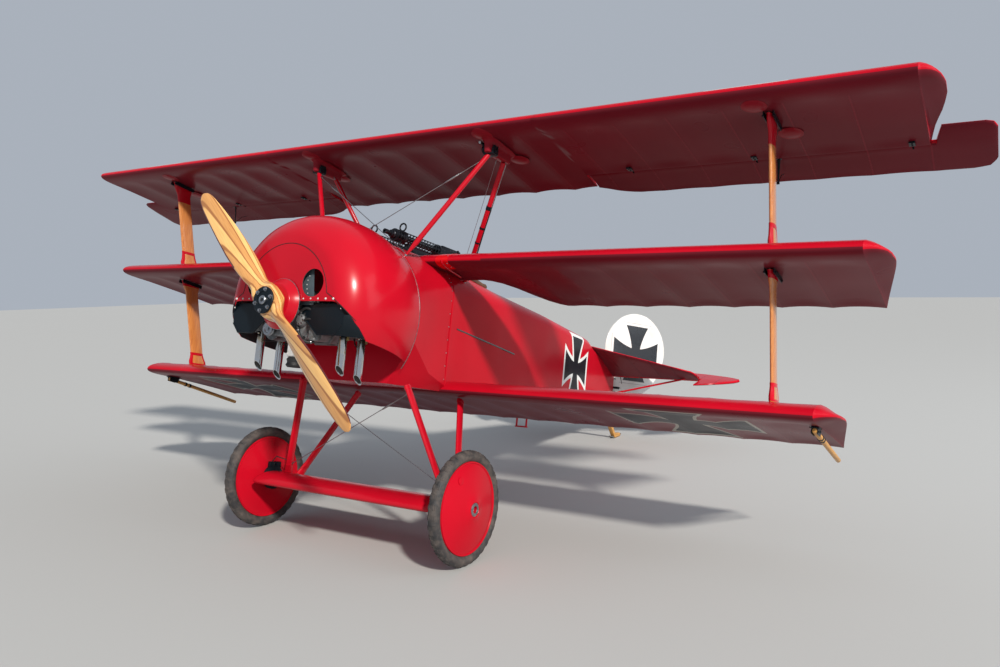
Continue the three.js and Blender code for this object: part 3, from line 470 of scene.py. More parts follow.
def pipe(bm, points, radius, segments=8, closed=False, flat=1):
    """A round or flattened rod along a path of points; radius may be one value for each."""
    points = [Vector(p) for p in points]
    count = len(points)
    rings = []
    side = None
    for i, point in enumerate(points):
        before = points[(i - 1) % count if closed else max(i - 1, 0)]
        after = points[(i + 1) % count if closed else min(i + 1, count - 1)]
        along = (after - before).normalized()
        if side is None:
            side = along.orthogonal().normalized()
        side = (side - along * side.dot(along)).normalized()
        over = along.cross(side)
        size = radius[i] if isinstance(radius, (list, tuple)) else radius
        rings.append([point + side * (size * cos(a)) + over * (size * flat * sin(a))
            for a in turns(segments)])
    loft(bm, rings, closed)


leather = shade("worn_leather", (0.1, 0.045, 0.022), 0.55)
place = drawn(leather)
creases = noise(leather, place, 60, 6, 0.6)
wire_up(leather, mixed(leather, ramp(leather, noise(leather, place, 8, 3), 0.35, 0.7), (0.05, 0.022, 0.012),
    (0.17, 0.08, 0.038)), ramp(leather, creases, 0.3, 0.7, 0.42, 0.72), creases, 0.0016)
bm = bmesh.new()
rim = []
for turn in turns(72):
    x, y = mouth_edge(turn)
    rim.append((x, y, deck_height(x, y) + 0.004))
stuffing = [0.021 + 0.0022 * cos(2 * pi * i / 6) for i in range(72)]
pipe(bm, rim, stuffing, 12, closed=True)
coaming = make("cockpit_coaming", bm, [leather])

# Seat: a light metal bucket on a tube frame, with a stitched leather cushion in it.
# The cushion is crowned, and dips at its four buttons.
alloy = worn("sheet_alloy", (0.42, 0.43, 0.44), 0.38, (30, 5, 0.65), ((0.3, 0.31, 0.33), (0.5, 0.51, 0.52)),
    (0.35, 0.7), (0.3, 0.75, 0.28, 0.55), 0.0004, Metallic=0.9)
bm = bmesh.new()
rows = []
BUCKET = Sizes(back=-2.045, front=-1.765, half=0.185, floor=-0.145, side=0.045, rest=0.225)
for share, rise in ((0, 1), (0.12, 0.35), (0.24, 0.04), (0.5, 0), (0.8, 0), (1, 0.02)):
    x = BUCKET.back + (BUCKET.front - BUCKET.back) * share
    z = BUCKET.floor + (BUCKET.rest - BUCKET.floor) * rise
    lip = BUCKET.side if rise < 0.3 else 0.02
    row = [(x, -BUCKET.half, z + lip), (x, -BUCKET.half + 0.015, z + 0.006),
        (x, BUCKET.half - 0.015, z + 0.006), (x, BUCKET.half, z + lip)]
    rows.append(row)
shell = bmesh.ops.create_grid(bm, x_segments=3, y_segments=len(rows) - 1, size=1)["verts"]
for i, vert in enumerate(shell):
    vert.co = rows[i // 4][i % 4]
bmesh.ops.recalc_face_normals(bm, faces=bm.faces[:])
bmesh.ops.solidify(bm, geom=bm.faces[:], thickness=0.004)
for y in (-0.14, 0.14):
    pipe(bm, [(-1.84, y, BUCKET.floor), (-1.86, y, -0.289)], 0.011)
    pipe(bm, [(-1.98, y, BUCKET.floor), (-1.96, y, -0.289)], 0.011)
make("seat_bucket", bm, [alloy], replaces=["seat"])
bm = bmesh.new()
PAD = Sizes(x=-1.895, y=0, z=-0.105, long=0.125, half=0.165, thick=0.034)
bmesh.ops.create_grid(bm, x_segments=26, y_segments=32, size=1)
top = bmesh.ops.extrude_face_region(bm, geom=bm.faces[:])["geom"]
upper_side = {g for g in top if isinstance(g, bmesh.types.BMVert)}
for vert in bm.verts:
    u, v = vert.co.x, vert.co.y
    crown = max(0, (1 - u ** 4) * (1 - v ** 4)) ** 0.42
    pull = 1 - 0.045 * ((1 - abs(u)) * abs(v) ** 6 + (1 - abs(v)) * abs(u) ** 6)
    button = sum(exp(-((u - a) ** 2 + (v - b) ** 2) / 0.012) for a in (-0.45, 0.45) for b in (-0.5, 0.5))
    rise = PAD.thick * crown - 0.016 * button * crown
    side = 1 if vert in upper_side else -0.25
    vert.co = Vector((PAD.x + PAD.long * u * pull, PAD.y + PAD.half * v * pull, PAD.z + side * rise))
cushion = make("seat_cushion", bm, [leather], sharp=70)

# Control column and instrument board: a black steel tube with a spade grip on a cross
# shaft, behind a varnished board with three round dials.
enamel = worn("black_enamel", (0.003, 0.007, 0.011), 0.42, (90, 5, 0.65),
    ((0.003, 0.007, 0.011), (0.04, 0.042, 0.048)), (0.66, 0.74), (0.3, 0.75, 0.3, 0.55), 0.0005,
    Specular_IOR_Level=0.2, Coat_Weight=0.06, Coat_Roughness=0.3)
bm = bmesh.new()
pipe(bm, [(-1.64, 0, -0.286), (-1.648, 0, -0.1), (-1.66, 0, 0.085)], [0.013, 0.012, 0.011], 14)
for side in (-1, 1):
    pipe(bm, [(-1.66, 0, 0.085), (-1.661, side * 0.03, 0.083), (-1.661, side * 0.07, 0.1)], 0.011, 12)
    pipe(bm, [(-1.661, side * 0.03, 0.083), (-1.661, side * 0.083, 0.108)], 0.0145, 14)
box(bm, (-1.68, -0.026, -0.2896), (-1.6, 0.026, -0.262))
make("control_column_grip", bm, [enamel], replaces=["control_column"])
varnish = shade("board_varnish", (0.22, 0.1, 0.035), 0.3, Coat_Weight=0.6, Coat_Roughness=0.1)
place = drawn(varnish)
grain = node(varnish, "TexWave", {"Vector": node(varnish, "Mapping",
    {"Vector": place, "Scale": (1, 0.12, 1)}).outputs[0], "Scale": 14, "Distortion": 9, "Detail": 3},
    bands_direction="Z").outputs["Fac"]
wire_up(varnish, mixed(varnish, grain, (0.3, 0.15, 0.055), (0.14, 0.055, 0.02)))
frame["nodes"]["instrument_board"].data.materials.clear()
frame["nodes"]["instrument_board"].data.materials.append(varnish)
dial_black = worn("dial_black", (0.01, 0.01, 0.011), 0.25, (40,), dull=(0.3, 0.7, 0.18, 0.34),
    Coat_Weight=0.8)
brass = worn("dial_brass", (0.6, 0.42, 0.16), 0.32, (50, 4), ((0.42, 0.28, 0.1), (0.7, 0.52, 0.22)),
    Metallic=1)


def turned(bm, profile, centre=(0, 0, 0), axis=(1, 0, 0), steps=48):
    """Spins an outline of (along, radius) pairs about an axis and closes its seam and poles."""
    centre, axis = Vector(centre), Vector(axis).normalized()
    side = Vector((0, 0, 1)) if abs(axis.z) < 0.9 else Vector((1, 0, 0))
    verts = [bm.verts.new(centre + axis * a + side * r) for a, r in profile]
    edges = [bm.edges.new(pair) for pair in zip(verts, verts[1:])]
    if profile[0][1] > 0:
        edges.append(bm.edges.new((verts[-1], verts[0])))
    known = set(bm.verts) - set(verts)
    bmesh.ops.spin(bm, geom=verts + edges, cent=centre, axis=axis, angle=2 * pi, steps=steps, use_merge=True)
    bmesh.ops.remove_doubles(bm, verts=[v for v in bm.verts if v not in known], dist=1e-6)


def drum(bm, start, end, radius, *place, **turning):
    """A solid disc or rod between two places along its axis."""
    turned(bm, [(start, 0), (start, radius), (end, radius), (end, 0)], *place, **turning)


bm, faces_bm = bmesh.new(), bmesh.new()
for y, z, r in ((-0.13, 0.14, 0.045), (0, 0.12, 0.052), (0.13, 0.14, 0.045)):
    turned(bm, [(-1.505, 0), (-1.505, r), (-1.498, r), (-1.492, r - 0.004), (-1.4901, r - 0.004),
        (-1.4901, 0)], (0, y, z))
    drum(faces_bm, -1.5065, -1.5045, r - 0.007, (0, y, z))
make("dial_rims", bm, [brass])
make("dial_faces", faces_bm, [dial_black])

# Side hatch and plates: the alloy nose panels behind the cockpit are screwed to the
# frame, and a long dark strip of painted shadow, the shade in the gap along a hatch's edge, runs aft below
# the cockpit on each side.
steel = worn("zinc_steel", (0.38, 0.39, 0.41), 0.34, (70, 5, 0.6), ((0.26, 0.27, 0.29), (0.47, 0.48, 0.5)),
    (0.35, 0.75), (0.3, 0.7, 0.24, 0.46), 0.0003, Metallic=1)
red_metal = dope("nose_paint", RED, rough=0.2, gloss=1.1)


def dome(bm, at, normal, radius, height=None, segments=8):
    """A rivet or screw head that stands on a surface."""
    at, normal = Vector(at), Vector(normal).normalized()
    tall = height or radius * 0.45
    turn = Vector((0, 0, 1)).rotation_difference(normal).to_matrix().to_4x4()
    bmesh.ops.create_cone(bm, cap_ends=True, segments=segments, radius1=radius, radius2=radius * 0.55,
        depth=tall + 0.002, matrix=Matrix.Translation(at + normal * (tall / 2 - 0.001)) @ turn)


def hull_point(x, turn):
    """A point on the deck of the hull and its outward normal, at an angle up from port."""
    half, _, _, _, shoulder, ridge = between(FRAMES, x)
    rise = ridge - shoulder
    return (Vector((x, half * cos(turn), shoulder + rise * sin(turn))),
        Vector((0, cos(turn) / half, sin(turn) / rise)))


bm, screws, shadow_strips = bmesh.new(), bmesh.new(), bmesh.new()
PANEL_END = -1.3
arc = [hull_point(PANEL_END, pi * i / 30)[0] for i in range(31)]
half, _, _, corner, shoulder, _ = between(FRAMES, PANEL_END)
foot = [(PANEL_END, half, corner + (shoulder - corner) * i / 8) for i in range(8)]
path = foot + arc + [(x, -y, z) for x, y, z in reversed(foot)]
pipe(bm, path, 0.0035, 6)
for i in range(1, 30):
    point, normal = hull_point(PANEL_END + 0.022, pi * i / 30)
    dome(screws, point, normal, 0.0045)
for side in (-1, 1):
    for i in range(7):
        z = corner + (shoulder - corner) * (i + 0.5) / 7
        dome(screws, (PANEL_END + 0.022, side * between(FRAMES, PANEL_END + 0.022)[0], z), (0, side, 0),
            0.0045)
    # Painted shadow: a black rod laid on the side where the hatch's edge leaves a dark gap.
    shadow_strip_path = []
    for share in (0, 0.2, 0.4, 0.6, 0.8, 1):
        x = -1.4 - 0.92 * share
        shadow_strip_path.append((x, side * (between(FRAMES, x)[0] - 0.003), 0.043 - 0.067 * share))
    pipe(shadow_strips, shadow_strip_path, 0.0065, 8)
make("nose_panel_lap", bm, [red_metal])
make("nose_panel_screws", screws, [steel])
make("side_slots", shadow_strips, [dial_black])

# Engine: four level air-cooled cylinders on a cast alloy crankcase, bolted by its back
# to steel bearers. The castings are rough and oil-stained, and the fins are turned.
cast = shade("cast_alloy", (0.2, 0.205, 0.21), 0.55, Metallic=0.75)
place = drawn(cast)
sand = noise(cast, place, 220, 4, 0.6)
oil = ramp(cast, noise(cast, place, 11, 5, 0.65), 0.45, 0.68)
wire_up(cast, mixed(cast, oil, (0.27, 0.28, 0.29), (0.045, 0.042, 0.04)), ramp(cast, oil, 0, 1, 0.58, 0.34),
    sand, 0.0012)


def linked(verts, kind):
    """The edges or faces at some vertices, each once and always in the same order."""
    return list(dict.fromkeys(found for vert in verts for found in getattr(vert, kind)))


def rounded(bm, offset, block=None, segments=3):
    """Rounds the edges of one block, or of the whole mesh."""
    edges = bm.edges[:] if block is None else linked(block, "link_edges")
    bmesh.ops.bevel(bm, geom=edges, offset=offset, affect="EDGES", segments=segments, profile=0.5,
        material=-1)


CRANK = Sizes(front=-0.215, back=-0.62, half=0.165, low=-0.185, high=0.11)
CYLINDER_X, CYLINDER_Z, HEAD_R = (-0.335, -0.5), -0.07, 0.084
bm, fins, chrome_bm = bmesh.new(), bmesh.new(), bmesh.new()
crank_outline = [(-0.165, 0.04), (-0.165, -0.1), (-0.11, -0.185), (0.11, -0.185), (0.165, -0.1),
    (0.165, 0.04), (0.1, 0.11), (-0.1, 0.11)]
prism(bm, crank_outline, CRANK.back, CRANK.front, "X")
rounded(bm, 0.012)
turned(bm, [(-0.24, 0), (-0.24, 0.105), (-0.225, 0.105), (-0.215, 0.086), (-0.185, 0.064), (-0.15, 0.058),
    (-0.1458, 0.054), (-0.1458, 0)], steps=40)
for x in (-0.26, -0.36, -0.47, -0.58):
    prism(bm, [(a * 1.035, b * 1.035) for a, b in crank_outline], x - 0.006, x + 0.006, "X")
for y, z in ((-0.11, -0.13), (0.11, -0.13), (-0.11, 0.06), (0.11, 0.06)):
    pipe(bm, [(CRANK.back + 0.02, y, z), (-0.7, y * 1.02, z), (-0.7855, y, z)], 0.015, 12)
for turn in turns(8, 0.5):
    dome(bm, (-0.2245, 0.096 * cos(turn), 0.096 * sin(turn)), (1, 0, 0), 0.008, 0.008, 6)
for x in CYLINDER_X:
    for side in (-1, 1):
        out = (0, side, 0)
        drum(fins, 0.15, 0.43, 0.064, (x, 0, CYLINDER_Z), out, 28)
        for k in range(10):
            at = 0.184 + 0.0132 * k
            turned(fins, [(at, 0.06), (at, 0.08), (at + 0.0035, 0.08), (at + 0.0035, 0.06)],
                (x, 0, CYLINDER_Z), out, 28)
        for k in range(6):
            at = 0.32 + 0.0125 * k
            turned(fins, [(at, 0.05), (at, HEAD_R), (at + 0.004, HEAD_R), (at + 0.004, 0.05)],
                (x, 0, CYLINDER_Z), out, 28)
        cover = box(fins, (x - 0.058, side * 0.392, CYLINDER_Z - 0.06),
            (x + 0.058, side * 0.4315, CYLINDER_Z + 0.06))
        rounded(fins, 0.012, cover)
        for dx in (-0.045, 0.045):
            for dz in (-0.045, 0.045):
                dome(fins, (x + dx, side * 0.4315, CYLINDER_Z + dz), out, 0.006, 0.005, 6)
        for dx in (-0.022, 0.022):
            pipe(chrome_bm, [(x + dx, side * 0.16, CYLINDER_Z + 0.075),
                (x + dx * 1.4, side * 0.33, CYLINDER_Z + 0.088)], 0.009, 10)
make("engine_crankcase", bm, [cast], replaces=["engine"])
make("engine_cylinders", fins, [cast])
chrome = shade("heated_chrome", (0.46, 0.47, 0.5), 0.1, Metallic=1)
place = drawn(chrome)
_, _, chrome_z = split(chrome, place)
tarnish = calc(chrome, "ADD", noise(chrome, place, 22, 4), calc(chrome, "MULTIPLY", chrome_z, 1.6))
heat = node(chrome, "ValToRGB", {"Fac": ramp(chrome, tarnish, -0.1, 0.6)})
band = heat.color_ramp
band.elements[0].position, band.elements[0].color = 0, (0.62, 0.63, 0.65, 1)
band.elements[1].position, band.elements[1].color = 1, (0.16, 0.13, 0.12, 1)
for position, colour in ((0.45, (0.6, 0.58, 0.55, 1)), (0.62, (0.48, 0.38, 0.24, 1)),
        (0.8, (0.22, 0.2, 0.34, 1))):
    band.elements.new(position).color = colour
wire_up(chrome, heat.outputs["Color"], ramp(chrome, tarnish, 0, 0.6, 0.08, 0.3))
make("pushrod_tubes", chrome_bm, [chrome])

# Ignition leads: black rubber-covered leads from the two magnetos to the plugs, clipped
# along the cylinders, each ending in a brass cap.
rubber = worn("lead_rubber", (0.012, 0.012, 0.013), 0.55, (240, 3), dull=(0.3, 0.7, 0.42, 0.66),
    depth=0.0005)
bm, caps = bmesh.new(), bmesh.new()
for x in CYLINDER_X:
    for side in (-1, 1):
        for top in (-1, 1):
            plug = Vector((x + 0.012 * top, side * 0.372, CYLINDER_Z + top * (HEAD_R + 0.022)))
            path = [(-0.6, side * 0.06, 0.03), (-0.55, side * 0.18, top * 0.02 + 0.03),
                ((x - 0.6) / 2, side * 0.25, CYLINDER_Z + top * 0.115),
                (x, side * 0.31, CYLINDER_Z + top * 0.132), tuple(plug
                + Vector((0, -side * 0.012, top * 0.018))), tuple(plug)]
            pipe(bm, path, 0.0048, 6)
            pipe(caps, [plug + Vector((0, 0, top * 0.006)), plug - Vector((0, 0, top * 0.03))],
                [0.008, 0.0095], 8)
make("ignition_leads", bm, [rubber])
make("plug_caps", caps, [brass])

# Exhaust stacks: four chromed steel pipes that hang from the cylinder heads on two-bolt
# flanges. Each is sawn off on a slant, and blued near the head.
STACK = Sizes(radius=0.026, wall=0.003, y=0.345, slant=1.15)
# This dark colour is soot and painted shade together: it dresses the core inside each bore.
soot_and_shade_black = worn("exhaust_soot", (0.012, 0.011, 0.01), 0.9, (180, 3),
    ((0.008, 0.008, 0.008), (0.03, 0.026, 0.022)), depth=0.001)


def sawn_ring(x, y, z, radius, slant):
    return [(x + radius * cos(a), y + radius * sin(a), z + slant * radius * cos(a)) for a in turns(24)]


bm, shaded_bores = bmesh.new(), bmesh.new()
for x, foot_z in zip(CYLINDER_X, (-0.362, -0.402)):
    for side in (-1, 1):
        y = side * STACK.y
        rings = []
        for inner in (False, True):
            radius = STACK.radius - (STACK.wall if inner else 0)
            levels = [-0.145, -0.28, foot_z]
            for z in (levels[::-1] if inner else levels):
                slant = STACK.slant if z == foot_z else 0
                rings.append(sawn_ring(x, y, z, radius, slant))
        loft(bm, rings)
        # A dark core fills each pipe's bore just inside the sawn end: soot, and painted shade of the pipe's
        # inside.
        plug_r = STACK.radius - STACK.wall - 0.0006
        loft(shaded_bores, [sawn_ring(x, y, -0.15, plug_r, 0), sawn_ring(x, y, foot_z + 0.005, plug_r,
            STACK.slant)])
        turned(bm, [(-0.156, 0.022), (-0.156, 0.034), (-0.148, 0.034), (-0.148, 0.022)], (x, y, 0),
            (0, 0, 1), 24)
        for dx in (-0.029, 0.029):
            dome(bm, (x + dx, y, -0.156), (0, 0, -1), 0.006, 0.006, 6)
make("exhaust_bores", shaded_bores, [soot_and_shade_black])
make("exhaust_stacks", bm, [chrome], replaces=["exhaust_1", "exhaust_2", "exhaust_3",
    "exhaust_4"])

# Front of the engine: the finned alternator on the right, and on the left the magneto
# and the oil filter with their hoses, all clamped to the crankcase's front.
bm, hoses, clips = bmesh.new(), bmesh.new(), bmesh.new()
ALTERNATOR, MAGNETO, FILTER = (-0.13, -0.145), (0.128, -0.085), (0.205, -0.15)
for k in range(7):
    at = -0.222 - 0.014 * k
    drum(bm, at, at - 0.008, 0.062, (0, *ALTERNATOR), steps=32)
drum(bm, -0.218, -0.325, 0.052, (0, *ALTERNATOR), steps=32)
turned(bm, [(-0.178, 0), (-0.178, 0.02), (-0.186, 0.034), (-0.204, 0.04), (-0.262, 0.04), (-0.262, 0)],
    (0, *MAGNETO), steps=28)
for turn in turns(8):
    pipe(clips, [(-0.186, MAGNETO[0] + 0.028 * cos(turn), MAGNETO[1] + 0.028 * sin(turn)),
        (-0.178, MAGNETO[0] + 0.027 * cos(turn), MAGNETO[1] + 0.027 * sin(turn))], 0.0048, 6)
turned(bm, [(0.055, 0), (0.055, 0.026), (0.046, 0.034), (-0.046, 0.034), (-0.052, 0.028), (-0.052, 0)],
    (-0.245, *FILTER), (0, 0, 1), steps=28)
for turn in turns(12):
    pipe(bm, [(-0.245 + 0.034 * cos(turn), FILTER[0] + 0.034 * sin(turn), FILTER[1] + z) for z in (-0.04,
        0.04)], 0.0035, 6)
for start, lift, end, radius in (((-0.19, 0.112, -0.058), 0.05, (-0.235, 0.24, -0.075), 0.0085),
        ((-0.19, 0.146, -0.1), 0.03, (-0.245, 0.255, -0.12), 0.007),
        ((-0.2, 0.1, -0.12), -0.04, (-0.245, 0.205, -0.205), 0.0095),
        ((-0.195, 0.15, -0.06), 0.062, (-0.33, 0.235, 0.02), 0.006),
        ((-0.2, 0.165, -0.185), -0.03, (-0.3, 0.05, -0.205), 0.0085)):
    start, end = Vector(start), Vector(end)
    path = [start.lerp(end, s) + Vector((0.02, 0, lift)) * (4 * s * (1 - s))
        for s in (i / 10 for i in range(11))]
    pipe(hoses, path, radius, 10)
    for i in (1, 9):
        pipe(clips, [path[i].lerp(path[i + 1], 0.1), path[i].lerp(path[i + 1], 0.5)] if i < 9 else [path[i],
            path[i].lerp(path[i - 1], 0.4)], radius + 0.0018, 12)
make("engine_front_castings", bm, [cast])
make("engine_front_hoses", hoses, [rubber])
make("engine_front_clips", clips, [steel])

# Intake and alternator: a cast air box with a rubber hose ring under the crankcase, and
# a belt pulley beside the shaft.
bm = bmesh.new()
block = box(bm, (-0.335, -0.045, -0.3), (-0.275, 0.045, -0.1856))
rounded(bm, 0.01, block)
for y in (-0.036, 0.036):
    dome(bm, (-0.275, y, -0.21), (1, 0, 0), 0.006, 0.004, 6)
    dome(bm, (-0.275, y, -0.28), (1, 0, 0), 0.006, 0.004, 6)
box_paint = worn("air_box_paint", (0.6, 0.58, 0.56), 0.42, (30, 4, 0.6),
    ((0.72, 0.7, 0.68), (0.42, 0.41, 0.4)), (0.35, 0.7), (0.3, 0.7, 0.36, 0.55), 0.0004)
make("intake_casting", bm, [box_paint], replaces=["intake_box"])
bm = bmesh.new()
turned(bm, [(-0.362, 0.026), (-0.362, 0.04), (-0.35, 0.05), (-0.332, 0.042), (-0.314, 0.048),
    (-0.299, 0.036), (-0.299, 0.026)], (-0.305, 0, 0), (0, 0, 1), 32)
make("intake_hose", bm, [rubber])
bm = bmesh.new()
turned(bm, [(-0.2148, 0), (-0.2148, 0.017), (-0.203, 0.018), (-0.2, 0.04), (-0.197, 0.04), (-0.1915, 0.031),
    (-0.1885, 0.031), (-0.183, 0.04), (-0.18, 0.04), (-0.18, 0.026), (-0.184, 0.022), (-0.184, 0.01),
    (-0.178, 0.009), (-0.178, 0)], (0, *ALTERNATOR), steps=40)
make("alternator_pulley", bm, [steel], replaces=["pulley"])

# Cowling: spun and beaten alloy in glossy red, cut away below the shaft. Its face disc
# is lapped on with small screws, and two eye holes let the air in to the cylinders.
COWL_CENTRE = (0, 0, 0.02)
skin_line = [(-0.15, 0.118), (-0.1504, 0.3), (-0.1545, 0.395), (-0.1605, 0.424), (-0.176, 0.452),
    (-0.2, 0.486), (-0.232, 0.518), (-0.27, 0.543), (-0.32, 0.566), (-0.39, 0.583), (-0.46, 0.59),
    (-0.52, 0.591), (-0.59, 0.587), (-0.65, 0.577), (-0.72, 0.56), (-0.786, 0.54)]
COWL_WALL = 0.006
lining_line = [(x - COWL_WALL * (1 if x > -0.2 else 0), r - COWL_WALL * (0 if x > -0.158 else 1)) for x,
    r in reversed(skin_line)]
bm = bmesh.new()
turned(bm, skin_line + lining_line, COWL_CENTRE, steps=128)
bmesh.ops.recalc_face_normals(bm, faces=bm.faces[:])
bm.normal_update()
for face in bm.faces:
    middle = face.calc_center_median() - Vector(COWL_CENTRE)
    if face.normal.x < -0.5 or face.normal.dot((0, middle.y, middle.z)) < -0.01:
        face.material_index = 1
cowl_lining = worn("cowl_lining", (0.1, 0.11, 0.12), 0.5, (14, 4),
    ((0.15, 0.16, 0.17), (0.04, 0.042, 0.045)), depth=0.001, Metallic=0.6)
cowling = make("cowling_shell", bm, [red_metal, cowl_lining], replaces=["cowling"], sharp=30)
EYE = Sizes(y=0.232, z=0.128, r=0.083)
CHIN = [(-0.1, 0.02), (-0.162, 0.02), (-0.24, -0.09), (-0.33, -0.185), (-0.82, -0.262), (-0.82, -0.8),
    (-0.1, -0.8)]
bm = bmesh.new()
prism(bm, CHIN, -0.8, 0.8, "Y")
carve(cowling, bm, red_metal)
for side in (-1, 1):
    bm = bmesh.new()
    drum(bm, -0.24, -0.12, EYE.r, (0, side * EYE.y, EYE.z))
    carve(cowling, bm, cowl_lining)


def cowl_point(radius, turn, proud=0):
    """A point on the front of the cowling's skin, by its distance from the axis."""
    x = between(sorted((r, x) for x, r in skin_line[:12]), radius)[0]
    return Vector((x + proud, radius * cos(turn), COWL_CENTRE[2] + radius * sin(turn)))


gap_black = worn("joint_black", (0.03, 0.004, 0.006), 0.6, (80,), dull=(0.3, 0.7, 0.45, 0.75))
bm, rivets = bmesh.new(), bmesh.new()
FACE_R = 0.352
TURN_LOW = radians(8)
lap = [cowl_point(FACE_R, TURN_LOW + (pi - 2 * TURN_LOW) * i / 60) for i in range(61)]


def flank(side, share):
    """The lap's straight run from the face disc down the flank to the chin's edge."""
    turn = radians(8 - 19 * share)
    point = cowl_point(FACE_R + (0.524 - FACE_R) * share, turn)
    return Vector((point.x, side * point.y, point.z))


run_port = [flank(1, i / 16) for i in range(16, 0, -1)]
run_starboard = [flank(-1, i / 16) for i in range(1, 17)]
pipe(bm, run_port + lap + run_starboard, 0.0026, 6)
make("face_joint", bm, [gap_black])
for i in range(27):
    turn = TURN_LOW + (pi - 2 * TURN_LOW) * i / 26
    dome(rivets, cowl_point(FACE_R + 0.016, turn), (1, 0.25 * cos(turn), 0.25 * sin(turn)), 0.0032)
make("face_screws", rivets, [red_metal])
rivets = bmesh.new()
for side in (-1, 1):
    for i in range(5):
        dome(rivets, (-0.1515, side * (0.172 + 0.058 * i), 0.034), (1, 0, 0), 0.0078)
make("chin_rivets", rivets, [box_paint])
bm = bmesh.new()
arc = [(-0.7875, 0.5405 * cos(t), 0.02 + 0.5405 * sin(t)) for t in (radians(-36 + 252 * i / 80)
    for i in range(81))]
pipe(bm, arc, 0.0024, 6)
make("cowling_band", bm, [steel])
bm, rivets = bmesh.new(), bmesh.new()
for side in (-1, 1):
    plate = [(-0.15, -0.125), (-0.012, -0.125), (-0.02, -0.05), (-0.034, 0.05), (-0.04, 0.125),
        (-0.15, 0.125)]
    prism(bm, [(side * (EYE.y + dy), EYE.z + dz) for dy, dz in plate], -0.19, -0.187, "X")
    for k in range(5):
        dome(rivets, (-0.187, side * (EYE.y - 0.068 - 0.014 * sin(pi * k / 4)), EYE.z - 0.056 + 0.026 * k),
            (1, 0, 0), 0.0048)
grey_plate = worn("grey_baffle", (0.1, 0.13, 0.15), 0.42, (25, 4), ((0.06, 0.085, 0.1), (0.14, 0.18, 0.2)),
    depth=0.0006, Metallic=0.3)
make("eye_plates", bm, [grey_plate])
make("eye_plate_rivets", rivets, [box_paint])

# Baffles: black sheets that close the chin on each side of the engine, hemmed along
# their lower edges and riveted to the face disc.
bm, rivets = bmesh.new(), bmesh.new()
SHEET = [(0.125, 0.012), (0.44, 0.012), (0.466, -0.05), (0.455, -0.112), (0.405, -0.17), (0.268, -0.17),
    (0.18, -0.095), (0.125, -0.04)]
for side in (-1, 1):
    prism(bm, [(y * side, z) for y, z in SHEET], -0.196, -0.1935, "X")
    hem = [(-0.194, y * side, z) for y, z in SHEET[3:]]
    pipe(bm, hem, 0.0045, 8)
    for y, z in ((0.3, -0.158), (0.38, -0.158), (0.432, -0.128), (0.452, -0.08)):
        dome(bm, (-0.1935, y * side, z), (1, 0, 0), 0.0045)
CUT_EDGE = [
    # x, y and z along the cowling's cut, beside the sheet's outer corners
    (-0.1655, 0.433, 0.014), (-0.208, 0.49, -0.048), (-0.266, 0.524, -0.118), (-0.312, 0.528, -0.168),
]
for side in (-1, 1):
    wing_sheet = bmesh.ops.create_grid(bm, x_segments=len(CUT_EDGE) - 1, y_segments=1, size=1)["verts"]
    for i, vert in enumerate(wing_sheet):
        row, column = divmod(i, len(CUT_EDGE))
        y, z = SHEET[1 + column]
        vert.co = (CUT_EDGE[column][0], side * CUT_EDGE[column][1], CUT_EDGE[column][2]) if row else (-0.194,
            side * y, z)
    bmesh.ops.solidify(bm, geom=linked(wing_sheet, "link_faces"), thickness=0.0022)
    for start, end in zip(CUT_EDGE, CUT_EDGE[1:]):
        x, y, z = (Vector(start) + Vector(end)) / 2
        dome(rivets, (x + 0.006, side * (y - 0.016), z), (1, side * 0.3, 0), 0.0056)
make("chin_baffles", bm, [enamel], replaces=["baffle_left", "baffle_right"])
make("flank_rivets", rivets, [box_paint])

# Propeller: one two-bladed airscrew, glued up from maple and mahogany boards and carved,
# so that its boards show as contour lines along the blades, under clear varnish.
PROP = Sizes(radius=1.006, middle=-0.057, advance=1.15, turn=radians(46.5), steepest=0.95)
BLADE = [
    # distance out, chord, thickness, forward offset
    (0, 0.176, 0.0888, 0), (0.05, 0.17, 0.088, 0), (0.09, 0.15, 0.082, 0),
    (0.13, 0.122, 0.066, 0), (0.17, 0.118, 0.056, 0.001), (0.22, 0.132, 0.047, 0.002),
    (0.34, 0.152, 0.033, 0.004), (0.48, 0.158, 0.025, 0.005), (0.64, 0.149, 0.019, 0.005),
    (0.8, 0.13, 0.0145, 0.005), (0.9, 0.11, 0.012, 0.005),
    (0.96, 0.09, 0.01, 0.005), (0.99, 0.062, 0.008, 0.005), (1.006, 0.02, 0.005, 0.005),
]


def smooth(value, start, end):
    t = max(0, min(1, (value - start) / (end - start)))
    return t * t * (3 - 2 * t)


def both(half):
    return [-y for y in reversed(half) if y > 0] + half


def blade_ring(r):
    """The carved section at a distance along the airscrew, negative for the other blade."""
    away = abs(r)
    chord, thick, offset = between(BLADE, away)
    ease = smooth(away, 0.03, 0.16)
    twist = copysign(min(atan(PROP.advance / (2 * pi * max(away, 0.01))), PROP.steepest) * ease, r)
    square = 0.5 + 0.5 * ease
    ring = []
    for a in turns(28):
        c, s = cos(a), sin(a)
        across = chord / 2 * copysign(abs(c) ** square, c)
        through = thick / 2 * copysign(abs(s) ** square, s)
        through *= (1 + 0.18 * ease) if s > 0 else (1 - 0.18 * ease)
        ring.append(Vector((PROP.middle + offset + across * sin(twist) + through * cos(twist), -across
            * cos(twist) + through * sin(twist), r)))
    return ring


